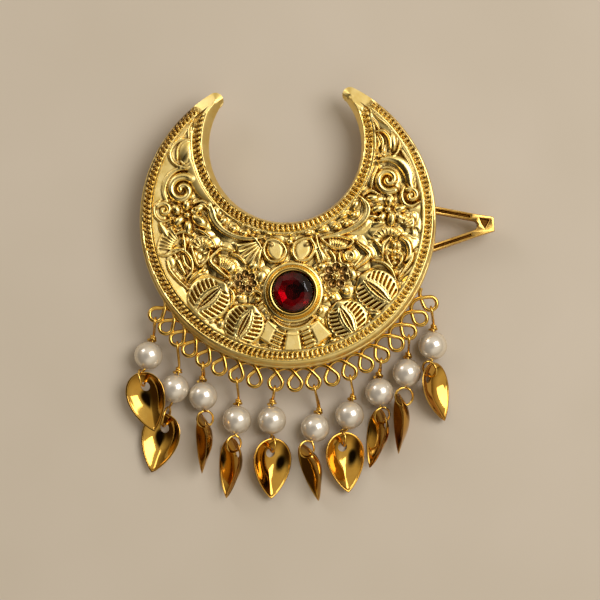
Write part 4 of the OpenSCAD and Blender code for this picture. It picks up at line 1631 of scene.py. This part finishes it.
@dataclass(frozen=True)
class LeafShape:
    """A cupped leaf, round at its top and pointed at its tip, pressed from sheet.

    Places on it are measured from its top, along and across it. Power says how flat the cup's
    bottom is, and crease how much sharper it gets towards the tip.
    """

    length: float = 11.0
    width: float = 7.3
    depth: float = 1.9
    wall: float = 0.4
    middle: float = 4.7
    power: float = 2.3
    crease: float = 0.9
    crease_zone: Point = (4.5, 9.5)
    hole_x: float = 2.75
    hole_r: float = 0.85
    samples: int = 1440
    cad_steps: int = 28
    cad_rings: int = 4

    def edge(self, angle: Array) -> Array:
        """Returns places on the leaf's outline for angles in degrees."""
        turn = np.radians(angle)
        return np.stack([self.length / 2 * (1 + np.cos(turn)),
                         self.width / 2 * 1.21 * np.sin(turn) * np.abs(np.sin(turn / 2)) ** 0.7],
                        axis=-1)

    def reach(self, x: float, angle: Array) -> Array:
        """Returns how far off the outline is from x on the middle line, at angles in radians."""
        run = self.edge(np.linspace(0, 360, self.samples, endpoint=False)) - [x, 0]
        return np.interp(angle, np.arctan2(run[:, 1], run[:, 0]), np.hypot(*run.T),
                         period=2 * math.pi)

    def cad_points(self) -> Array:
        """Works out the underside of the CAD leaf, which sets how the leaf rests.

        Returns:
            Its points.
        """
        angle = 360 * np.arange(self.cad_steps) / self.cad_steps
        run = self.edge(angle) - [self.middle, 0]
        points = [[self.middle, 0, -self.depth]]
        for ring in range(1, self.cad_rings + 1):
            share = ring / self.cad_rings
            drop = -self.depth * (1 - share ** self.power)
            points.extend([[self.middle + share * r[0], share * r[1], drop] for r in run])
        return np.array(points)

    def skin(self, places: Array, inset: float) -> Array:
        """Gives the height of the leaf's cup.

        Args:
            places: Places along and across the leaf.
            inset: Distance in from the outer skin.

        Returns:
            Heights below the rim's plane.
        """
        own = places - [self.middle, 0]
        reach = self.reach(self.middle, np.arctan2(own[:, 1], own[:, 0])) - inset
        share = np.clip(np.hypot(*own.T) / reach, 0, 1)
        power = self.power - self.crease * smooth(*self.crease_zone, places[:, 0])
        return -(self.depth - inset) * (1 - share ** power)

    def mesh(self) -> Mesh:
        """Builds the leaf round its hole: top skin, rounded rim, underside and hole wall.

        Returns:
            Points and faces.
        """
        turns = np.linspace(0, 2 * math.pi, 112, endpoint=False)
        ways = np.stack([np.cos(turns), np.sin(turns)], axis=-1)
        reach = self.reach(self.hole_x, turns)
        shares = np.linspace(0, 1, 18) ** 0.9
        rim_r = self.wall / 2

        def ring(distance: Array) -> Array:
            """Returns the places at distances from the hole's middle."""
            return np.array([self.hole_x, 0]) + ways * distance[:, None]

        rows = []
        for share in shares:
            places = ring(self.hole_r + (reach - self.wall - self.hole_r) * share)
            rows.append(np.column_stack([places, self.skin(places, self.wall)]))
        for turn in np.radians([150, 120, 90, 60, 30]):
            places = ring(reach - rim_r + rim_r * math.cos(turn))
            rows.append(np.column_stack([places, np.full(len(ways), rim_r * math.sin(turn) * 0.5)]))
        for share in shares[::-1]:
            places = ring(self.hole_r + (reach - self.hole_r) * share)
            rows.append(np.column_stack([places, self.skin(places, 0.0)]))
        faces = ring_faces(len(rows), len(ways))
        return np.vstack(rows), faces[:, ::-1]


def arc(centre: Array, radius: float, u: Array, v: Array, degrees: Array) -> Array:
    """Returns places on a circle, at angles from the unit vector u towards v."""
    turn = np.radians(degrees)[:, None]
    return centre + radius * (np.cos(turn) * u + np.sin(turn) * v)


@dataclass(frozen=True)
class Drop:
    """One drop: its wire, pearl and leaf, placed as in the CAD model.

    Way and reach say where the ring lies from the pearl. Heading, roll and pitch turn the leaf,
    and lift raises it on to what it lies on. Loop is the number of the loop that carries it.
    """

    number: int
    loop: int
    pearl_at: Point
    way: float
    reach: float
    heading: float
    roll: float
    pitch: float
    lift: float
    ring: RingPlace
    leaf: LeafShape = LeafShape()
    pearl_r: float = 2.6
    wire_r: float = 0.18
    round_r: float = 0.215
    loop_r: float = 1.2
    loop_z: float = 5.2
    eye_r: float = 0.76
    eye_off: float = 0.14
    wrap_r: float = 0.4
    wrap_len: float = 0.95
    wrap_off: float = 0.22
    wrap_turns: float = 2.4
    bore_gap: float = 0.07
    flare: float = 0.4

    def turned(self, points: Array) -> Array:
        """Returns points turned by roll about x, then pitch about y, then heading about z."""
        turn = Euler(np.radians([self.roll, self.pitch, self.heading])).to_matrix()
        return np.asarray(points, float) @ np.array(turn).T

    @property
    def ring_on_leaf(self) -> Array:
        """The ring's middle from the top of the leaf."""
        return np.array([self.ring.along, 0, self.ring.above])

    @property
    def leaf_z(self) -> float:
        """The height at which the leaf and its ring just rest on the surface."""
        leaf_low = self.turned(self.leaf.cad_points())[:, 2].min()
        angle = np.radians(np.arange(0, 360, 15))
        hoop = self.ring_on_leaf + self.ring.radius * np.column_stack(
            [np.cos(angle), np.zeros(len(angle)), np.sin(angle)])
        ring_low = self.turned(hoop)[:, 2].min() - self.wire_r
        return 0.04 + self.lift - min(leaf_low, ring_low)

    @property
    def pearl_c(self) -> Array:
        """The pearl's centre."""
        return np.array([*self.pearl_at, self.pearl_r + 0.02])

    @property
    def ring_c(self) -> Array:
        """The ring's centre."""
        z = self.leaf_z + self.turned(self.ring_on_leaf)[2]
        rise = self.pearl_c[2] - z
        clear = self.pearl_r + self.ring.radius + self.wire_r + 0.1
        reach = max(self.reach, math.sqrt(max(0.0, clear ** 2 - rise ** 2)))
        way = math.radians(self.way)
        return np.array([self.pearl_at[0] + reach * math.cos(way),
                         self.pearl_at[1] + reach * math.sin(way), z])

    @property
    def leaf_c(self) -> Array:
        """Where the top of the leaf lies."""
        off = self.turned(self.ring_on_leaf)
        return np.array([self.ring_c[0] - off[0], self.ring_c[1] - off[1], self.leaf_z])

    @property
    def loop_c(self) -> Array:
        """The middle of the loop that carries the drop."""
        return EdgeLoops().centre(self.loop)

    @property
    def bore(self) -> Array:
        """The direction of the pearl's bore, towards the loop."""
        from_ring = self.pearl_c - self.ring_c
        to_loop = unit((self.loop_c - self.pearl_c)[:2])
        level = unit(unit(from_ring[:2]) + 0.6 * to_loop)
        return unit(np.array([*level, from_ring[2] / np.linalg.norm(from_ring)]))

    def wire_path(self) -> Array:
        """Follows the wire from the ring, through the pearl and the loop, back to its wrap.

        Returns:
            Places along the wire's middle.
        """
        pearl, bore, ring, loop = self.pearl_c, self.bore, self.ring_c, self.loop_c
        mouth = pearl - (self.pearl_r + 0.16) * bore
        ring_x, ring_k = self.turned([[1, 0, 0], [0, 0, 1]])
        to_mouth = mouth - ring
        near = unit((to_mouth @ ring_x) * ring_x + (to_mouth @ ring_k) * ring_k)
        far = ring_k * (near @ ring_x) - ring_x * (near @ ring_k)
        neck = pearl + (self.pearl_r + self.wrap_len + 0.1) * bore
        way = unit((neck - loop)[:2])
        eye = np.array([*(loop[:2] + (self.loop_r + self.eye_off) * way), self.loop_z])
        a = unit(neck - eye)
        k = unit(np.array([0, 0, 1.0]) - a[2] * a)
        side = unit(k - (k @ bore) * bore)
        across = np.cross(bore, side)
        share = np.arange(25) / 24
        wrap_r = (self.wrap_r + self.flare * smooth(0.5, 1.0, share))[:, None]
        from_pearl = self.pearl_r + self.wrap_off + self.wrap_len * (1 - share)
        turn = 360 * self.wrap_turns * share
        wraps = pearl + np.outer(from_pearl, bore) - wrap_r * arc(0, 1, side, across, turn)
        ring_turn = 18 + 328 * np.linspace(1, 0, 19)
        eye_turn = 65 + 230 * np.linspace(0, 1, 9)
        return spline(np.vstack([
            arc(ring, self.ring.radius, near, far, ring_turn),
            mouth, pearl - (self.pearl_r - 0.3) * bore, pearl, neck,
            arc(eye, self.eye_r, a, k, eye_turn), wraps]), 0.14)

    def wire(self) -> None:
        """Builds the wire."""
        points, faces = tube(self.wire_path(), self.round_r)
        make_piece(f"drop_wire_{self.number}.round", points, faces, WIRE_GOLD, Slot.WIRE,
                   f"drop_wire_{self.number}")

    def pearl(self) -> None:
        """Builds the drilled pearl."""
        bore = self.bore
        # Any direction that isn't along the bore gives one across it.
        side = unit(np.cross(bore, [0.3, 0.2, 0.9]))
        across = np.cross(bore, side)
        start = math.degrees(math.asin((self.round_r + self.bore_gap) / self.pearl_r))
        polar = np.radians(np.linspace(start, 180 - start, 36))
        turns = np.linspace(0, 360, 56, endpoint=False)
        rings = [arc(self.pearl_c + self.pearl_r * math.cos(p) * bore, self.pearl_r * math.sin(p),
                     side, across, turns) for p in polar]
        faces = ring_faces(len(rings), len(turns))
        make_piece(f"pearl_{self.number}.bead", np.vstack(rings), faces[:, ::-1], PEARL,
                   Slot.PEARL, f"pearl_{self.number}", 70)

    def blade(self) -> None:
        """Builds the leaf."""
        points, faces = self.leaf.mesh()
        make_piece(f"leaf_{self.number}.cup", self.turned(points) + self.leaf_c, faces, LEAF_GOLD,
                   Slot.LEAF, f"leaf_{self.number}", 65)

    def build(self) -> None:
        """Builds the drop's three pieces."""
        self.wire()
        self.pearl()
        self.blade()


# Number, loop, the pearl's place, way, reach, heading, roll, pitch, lift and the ring's place
DROPS = [
    Drop(1, 1, (-25.2, -24.2), -105, 3.9, -76, 14, 4, 1.9, RING_PLAIN),
    Drop(2, 3, (-20.4, -30.1), -107, 5.3, -104, 14, 4, 0, RING_LONG),
    Drop(3, 5, (-15.3, -31.5), -84, 4.0, -90, 72, 12, 0, RING_FLAT),
    Drop(4, 7, (-9.2, -35.8), -97, 4.0, -96, 57, 6, 0, RING_PLAIN),
    Drop(5, 9, (-2.9, -35.8), -89, 3.8, -92, -20, 4, 0, RING_PLAIN),
    Drop(6, 11, (4.9, -37.2), -112, 4.0, -75, 66, 15, 0, RING_PLAIN),
    Drop(7, 13, (11.1, -34.9), -106, 3.9, -85, -15, 4, 0, RING_PLAIN),
    Drop(8, 15, (16.5, -30.8), -84, 4.0, -101, 63, 12, 0, RING_PLAIN),
    Drop(9, 17, (21.4, -27.3), -97, 4.0, -90, 78, 8, 0, RING_WIDE),
    Drop(10, 19, (26.1, -22.4), -98, 3.9, -75, -47, 13, 0, RING_PLAIN),
]


# Back plate, with its edge loops and the clip's upper jaw

@dataclass(frozen=True)
class EdgeLoops:
    """The looped wire along the lower edge, which crosses itself at each loop's top."""

    middle: Point = (0.3, 0.0)
    radius: float = 29.3
    z: float = 5.2
    loop_r: float = 1.2
    wire_r: float = 0.36
    crossing: float = 1.95
    shoulder: Point = (0.7, 2.55)
    end: Point = (1.6, 2.85)
    apart: float = 0.25
    angles: tuple[float, ...] = (
        234.8, 229.2, 223.5, 217.8, 211.8, 205.5, 199, 192.4, 184.9, 178.1, 171.7, 165,
        158.5, 152.1, 145.6, 139.1, 133.1, 126.9, 120.6)

    def centre(self, number: int) -> Array:
        """Returns the middle of a loop, counted from 1."""
        flat = np.array(self.middle) + self.radius * compass(self.angles[number - 1])
        return np.array([*flat, self.z])

    def path(self, number: int) -> Array:
        """Follows a loop's wire from one end, round the ring, to the other end.

        Args:
            number: The loop's number, from 1.

        Returns:
            Places along the wire's middle.
        """
        lean = math.degrees(math.asin(self.loop_r / self.crossing))
        turn = np.radians(np.linspace(lean, -180 - lean, 22))
        ring = np.column_stack([self.loop_r * np.cos(turn), self.loop_r * np.sin(turn),
                                np.linspace(self.apart * 0.7, -self.apart * 0.7, 22)])
        (out, high), (far, top) = self.shoulder, self.end
        first = [[-far, top, 0], [-out, high, self.apart / 2], [0, self.crossing, self.apart]]
        last = [[0, self.crossing, -self.apart], [out, high, -self.apart / 2], [far, top, 0]]
        rows = spline(np.vstack([first, ring, last]), 0.16)
        up = -compass(self.angles[number - 1])
        side = np.array([up[1], -up[0]])
        flat = rows[:, :1] * side + rows[:, 1:2] * up
        return np.column_stack([flat, rows[:, 2]]) + self.centre(number)

    def build(self) -> None:
        """Builds all loops as one piece, as they are soldered to one plate."""
        loops = [tube(self.path(i + 1), self.wire_r, 14) for i in range(len(self.angles))]
        make_piece("edge_loops", *join(loops), WIRE_GOLD, Slot.WIRE, "back_plate")


@dataclass
class Shell:
    """A mesh that grows from level outlines."""

    points: list[Array] = field(default_factory=list)
    faces: list[list[int]] = field(default_factory=list)

    def add(self, outline: Array, z: float) -> Array:
        """Adds an outline's points at a height and returns their numbers."""
        self.points.append(np.column_stack([outline, np.full(len(outline), z)]))
        return sum(len(p) for p in self.points) - np.arange(len(outline), 0, -1)

    def wall(self, rows: list[Array], flip: bool = False) -> None:
        """Joins outlines of as many points each.

        Args:
            rows: The points' numbers of each outline, upwards.
            flip: Whether the wall faces inwards, as a hole's does.
        """
        for lower, upper in zip(rows, rows[1:]):
            quads = np.column_stack([lower, np.roll(lower, -1), np.roll(upper, -1), upper])
            self.faces.extend((quads[:, ::-1] if flip else quads).tolist())

    def cap(self, rings: list[Array], up: bool) -> None:
        """Closes an outline, apart from its holes.

        Args:
            rings: The points' numbers of the outline and of its holes.
            up: Whether the cap faces up.
        """
        numbers = np.concatenate(rings)
        every = np.vstack(self.points)
        loops = [[Vector((*every[n][:2], 0)) for n in ring] for ring in rings]
        for a, b, c in tessellate_polygon(loops):
            corners = [int(numbers[a]), int(numbers[b]), int(numbers[c])]
            p, q, r = every[corners][:, :2]
            turn = (q[0] - p[0]) * (r[1] - p[1]) - (q[1] - p[1]) * (r[0] - p[0])
            self.faces.append(corners if (turn > 0) == up else corners[::-1])


@dataclass(frozen=True)
class Slab:
    """A flat plate with softened edges, with holes and with channels pressed into its top.

    The outlines run anticlockwise as rows of x and y.
    """

    outline: Array
    low: float
    high: float
    holes: tuple[Array, ...] = ()
    channels: tuple[Array, ...] = ()
    channel_z: float = 0.0
    soft: float = 0.1

    @staticmethod
    def offset(outline: Array, inset: float) -> Array:
        """Moves an outline.

        Args:
            outline: Anticlockwise rows of x and y.
            inset: Distance to move it inwards.

        Returns:
            The moved rows.
        """
        ahead = np.roll(outline, -1, 0) - outline
        ahead /= np.linalg.norm(ahead, axis=1)[:, None]
        normal = np.column_stack([-ahead[:, 1], ahead[:, 0]])
        before = np.roll(normal, 1, 0)
        mitre = (normal + before) / np.maximum(1 + np.sum(normal * before, axis=1), 0.5)[:, None]
        return outline + inset * mitre

    def mesh(self) -> Mesh:
        """Builds the closed plate.

        Returns:
            Points and faces.
        """
        shell, soft = Shell(), self.soft
        steps = [(soft, self.low), (0, self.low + soft), (0, self.high - soft),
                 (0.3 * soft, self.high - 0.3 * soft), (soft, self.high)]
        rim = [shell.add(self.offset(self.outline, inset), z) for inset, z in steps]
        shell.wall(rim)
        tops, bottoms = [rim[-1]], [rim[0]]
        for hole in self.holes:
            rows = [shell.add(self.offset(hole, -inset), z) for inset, z in steps]
            shell.wall(rows, True)
            tops.append(rows[-1])
            bottoms.append(rows[0])
        pressed = [(-soft, self.high), (0, self.high - soft), (soft * 0.6, self.channel_z + soft),
                   (soft * 1.4, self.channel_z)]
        for channel in self.channels:
            rows = [shell.add(self.offset(channel, inset), z) for inset, z in pressed]
            shell.wall(rows)
            tops.append(rows[0])
            shell.cap([rows[-1]], True)
        shell.cap(tops, True)
        shell.cap(bottoms, False)
        return np.vstack(shell.points), shell.faces


@dataclass
class BackPlate:
    """The plate behind the front, and the clip's upper jaw soldered to it."""

    shape: CrescentShape = field(default_factory=CrescentShape)
    low: float = 4.9
    high: float = 5.5
    inset: float = 0.15
    nose: float = 20.0
    nose_at: Point = (37.1, -0.55)
    turn: float = 4.0
    tail: float = 9.5
    waist: float = 3.9
    jaw_z: float = 3.9
    channel: float = 0.35
    # How much painted shade lies in the pressed channels.
    channel_painted_shade: float = 0.9
    pin_z: float = 2.9
    pin_hole: float = 0.53
    ear_r: float = 1.1
    ear_v: float = 3.7
    ear_width: float = 0.5

    def placed(self, points: Array) -> Array:
        """Moves points from the clip's frame, whose pin lies on its v axis, to the crescent's.

        Args:
            points: Rows of u, v and height.

        Returns:
            Rows of x, y and height.
        """
        turn = math.radians(self.turn)
        u, v, z = points.T
        ahead = np.array([math.cos(turn), math.sin(turn)])
        start = np.array(self.nose_at) - self.nose * ahead
        flat = start + u[:, None] * ahead + v[:, None] * np.array([-ahead[1], ahead[0]])
        return np.column_stack([flat, z])

    def plate(self) -> None:
        """Builds the crescent plate."""
        edge, reach, _ = self.shape.outline(0.5)
        inward = reach / np.linalg.norm(reach, axis=1)[:, None]
        # The crescent's edge runs clockwise, so it is turned round.
        outline = (edge + self.inset * inward)[::-1]
        points, faces = Slab(outline, self.low, self.high, soft=0.12).mesh()
        make_piece("crescent_back_plate", points, faces, PLAIN_GOLD, Slot.PLAIN, "back_plate", 35)

    def jaw(self) -> None:
        """Builds the upper jaw: a pressed frame with a channel in each leg and in its nose."""
        n, t, w = self.nose, self.tail, self.waist
        half = np.array([[n, 1.3], [n - 3.3, 2.05], [n - 10.6, 4.0], [4.2, 5.3], [3.2, 5.3],
                         [1.6, w], [1 - t, w], [-t, w - 1]])
        gap = np.array([[n - 3.0, 0.35], [n - 3.4, 0.75], [n - 4.4, 1.05], [n - 11.3, 2.9]])
        leg = np.array([[n - 4.2, 1.42], [n - 4.2, 1.92], [n - 11.2, 3.72], [n - 11.2, 3.24]])
        nose = np.array([[n - 0.7, 0.85], [n - 2.6, 1.3], [n - 2.2, 0.2], [n - 1.7, -0.7]])
        mirror = np.array([1, -1])

        def both(rows: Array) -> Array:
            """Returns an outline of which rows are the half above the u axis."""
            return np.vstack([rows, (rows * mirror)[::-1]])

        floor_z = self.jaw_z + self.channel
        frame_part = Slab(both(half), self.jaw_z, self.low - 0.02, (both(gap),),
                          (leg, (leg * mirror)[::-1], nose), floor_z, 0.13).mesh()
        points, faces = join([frame_part, self.ear(-self.ear_v), self.ear(self.ear_v)])
        piece = make_piece("clip_upper_jaw", self.placed(points), faces, CLIP_STEEL, Slot.PLAIN,
                           "back_plate", 50)
        # Painted shade in the pressed channels.
        in_channel = (points[:, 2] > floor_z - 0.01) & (points[:, 2] < self.low - 0.3)
        mark(piece, Mark.PAINTED_SHADE, np.where(in_channel, self.channel_painted_shade, 0.0))

    def ear(self, v: float) -> Mesh:
        """Builds one of the jaw's two ears, with the pin's hole.

        Args:
            v: Where it stands along the pin.

        Returns:
            Points and faces.
        """
        turn = np.radians(np.arange(180, 361, 12))
        round_end = self.ear_r * np.column_stack([np.cos(turn), np.sin(turn)])
        rise = self.jaw_z + 0.3 - self.pin_z
        outline = np.vstack([round_end, [[self.ear_r, rise], [-self.ear_r, rise]]])
        ring = np.radians(np.arange(0, 360, 15))
        hole = self.pin_hole * np.column_stack([np.cos(ring), np.sin(ring)])
        points, faces = Slab(outline, 0, self.ear_width, (hole,), soft=0.05).mesh()
        upright = np.column_stack([points[:, 0], v + self.ear_width / 2 - points[:, 2],
                                   self.pin_z + points[:, 1]])
        return upright, faces

    def build(self) -> None:
        """Builds the plate and the jaw."""
        self.plate()
        self.jaw()


# Clip pieces carried over from the CAD model

@dataclass
class PlainMetalwork:
    """The clip's lower jaw, pin and spring, whose CAD shapes are kept and dressed."""

    finishes: dict[str, Finish] = field(default_factory=lambda: {
        "clip_jaw": CLIP_STEEL, "clip_pin": CLIP_STEEL, "clip_spring": SPRING_WIRE})

    def build(self) -> None:
        """Puts a finish on each kept node."""
        for name, finish in self.finishes.items():
            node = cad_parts[name]
            if node.material_slots:
                for spot in node.material_slots:
                    spot.material = finish.material()
            else:
                node.data.materials.append(finish.material())
            LOG.info("%s: kept, with %s", name, finish.name)


# Studio

@dataclass(frozen=True)
class SoftLight:
    """A square soft light that faces the ornament.

    Azimuth is its direction in degrees, anticlockwise from +X, and elevation its height in degrees
    above the floor. Distance and size are in metres.
    """

    name: str
    azimuth: float
    elevation: float
    distance: float
    size: float
    watts: float
    tone: str

    def build(self) -> None:
        """Adds the light."""
        data = bpy.data.lights.new(self.name, "AREA")
        data.energy = self.watts
        data.size = self.size
        data.color = linear(self.tone)[:3]
        lamp = add_object(self.name, data)
        turn, tilt = math.radians(self.azimuth), math.radians(self.elevation)
        way = Vector((math.cos(tilt) * math.cos(turn), math.cos(tilt) * math.sin(turn),
                      math.sin(tilt)))
        lamp.location = way * self.distance
        lamp.rotation_euler = (-way).to_track_quat("-Z", "Y").to_euler()


@dataclass(frozen=True)
class WallPatch:
    """A soft round patch on the room's walls.

    Way is the direction of its middle, and spread the angles from there, in degrees, where it
    starts to fade and where it ends.
    """

    way: Point3
    spread: Point
    tone: str

    def over(self, tree: Tree, looking: Socket, walls: Socket) -> Socket:
        """Lays the patch over the walls.

        Args:
            tree: The room's tree.
            looking: The direction that is looked in.
            walls: The walls' colour.

        Returns:
            The colour with the patch.
        """
        near, far = np.cos(np.radians(self.spread))
        aligned = add_node(tree, "ShaderNodeVectorMath", {
            "operation": "DOT_PRODUCT", 1: Vector(self.way).normalized()}, {0: looking})
        share = add_node(tree, "ShaderNodeMapRange", {
            "interpolation_type": "SMOOTHSTEP", "From Min": far, "From Max": near},
            {"Value": aligned.outputs["Value"]})
        return add_node(tree, "ShaderNodeMix", {"data_type": "RGBA", 7: linear(self.tone)},
                        {0: share.outputs[0], 6: walls}).outputs[2]


@dataclass
class Studio:
    """Pale floor, soft lights and the camera above the ornament."""

    look_at: Point3 = (-1.82, -1.03, 4.0)
    distance: float = 450.0
    elevation: float = 87.0
    view_width: float = 108.0
    sensor: float = 36.0
    floor_half: float = 1200.0
    lights: tuple[SoftLight, ...] = (SoftLight("window", 23, 57, 0.7, 0.42, 3.0, "#FBFAFF"),
                                     SoftLight("left_window", 135, 33, 0.8, 0.26, 0.7, "#F4F4FF"))
    dim_left: WallPatch = WallPatch((-1.0, -0.55, 0.4), (22.0, 58.0), "#40301C")
    dark_above: WallPatch = WallPatch((-0.3, -0.1, 1.0), (15.0, 31.0), "#15120F")
    room_strength: float = 0.88

    def floor(self) -> None:
        """Lays the floor at z = 0."""
        corners = np.array([[-1, -1, 0], [1, -1, 0], [1, 1, 0], [-1, 1, 0]]) * self.floor_half * MM
        mesh = bpy.data.meshes.new("floor")
        mesh.from_pydata(corners.tolist(), [], [(0, 1, 2, 3)])
        mesh.materials.append(TABLE.material())
        add_object("floor", mesh)

    def camera(self) -> None:
        """Sets the camera at the photograph's angle."""
        tilt = math.radians(self.elevation)
        data = bpy.data.cameras.new("camera")
        data.sensor_width = self.sensor
        data.lens = self.sensor * self.distance / self.view_width
        camera = add_object("camera", data)
        target = Vector(self.look_at) * MM
        camera.location = target + Vector((0, -math.cos(tilt), math.sin(tilt))) * self.distance * MM
        camera.rotation_euler = (target - camera.location).to_track_quat("-Z", "Y").to_euler()
        bpy.context.scene.camera = camera

    def room(self) -> None:
        """Makes the pale room: dim at the left and near the floor, with a dark patch above."""
        world = bpy.data.worlds.new("studio")
        world.use_nodes = True
        tree = world.node_tree
        tree.nodes.clear()
        looking = add_node(tree, "ShaderNodeTexCoord").outputs["Generated"]
        height = add_node(tree, "ShaderNodeSeparateXYZ", links={"Vector": looking}).outputs["Z"]
        walls = ramp(tree, height, [(0.0, "#5E4A2E"), (0.35, "#C4B69C"), (0.7, "#F4ECDC"),
                                    (1.0, "#E6DCCA")])
        for patch in (self.dim_left, self.dark_above):
            walls = patch.over(tree, looking, walls)
        back = add_node(tree, "ShaderNodeBackground", {"Strength": self.room_strength},
                        {"Color": walls})
        add_node(tree, "ShaderNodeOutputWorld", links={"Surface": back.outputs[0]})
        bpy.context.scene.world = world

    def build(self) -> None:
        """Builds the floor, the camera, the lights and the room."""
        self.floor()
        self.camera()
        for light in self.lights:
            light.build()
        self.room()
        bpy.context.scene.view_settings.view_transform = "Standard"


def main() -> None:
    """Builds every piece."""
    logging.basicConfig(level=logging.INFO, format="%(name)s: %(message)s")
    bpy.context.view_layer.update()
    Studio().build()
    CrescentFront().build()
    StoneSetting().build()
    BackPlate().build()
    EdgeLoops().build()
    PlainMetalwork().build()
    for drop in DROPS:
        drop.build()


if __name__ == "__main__":
    main()
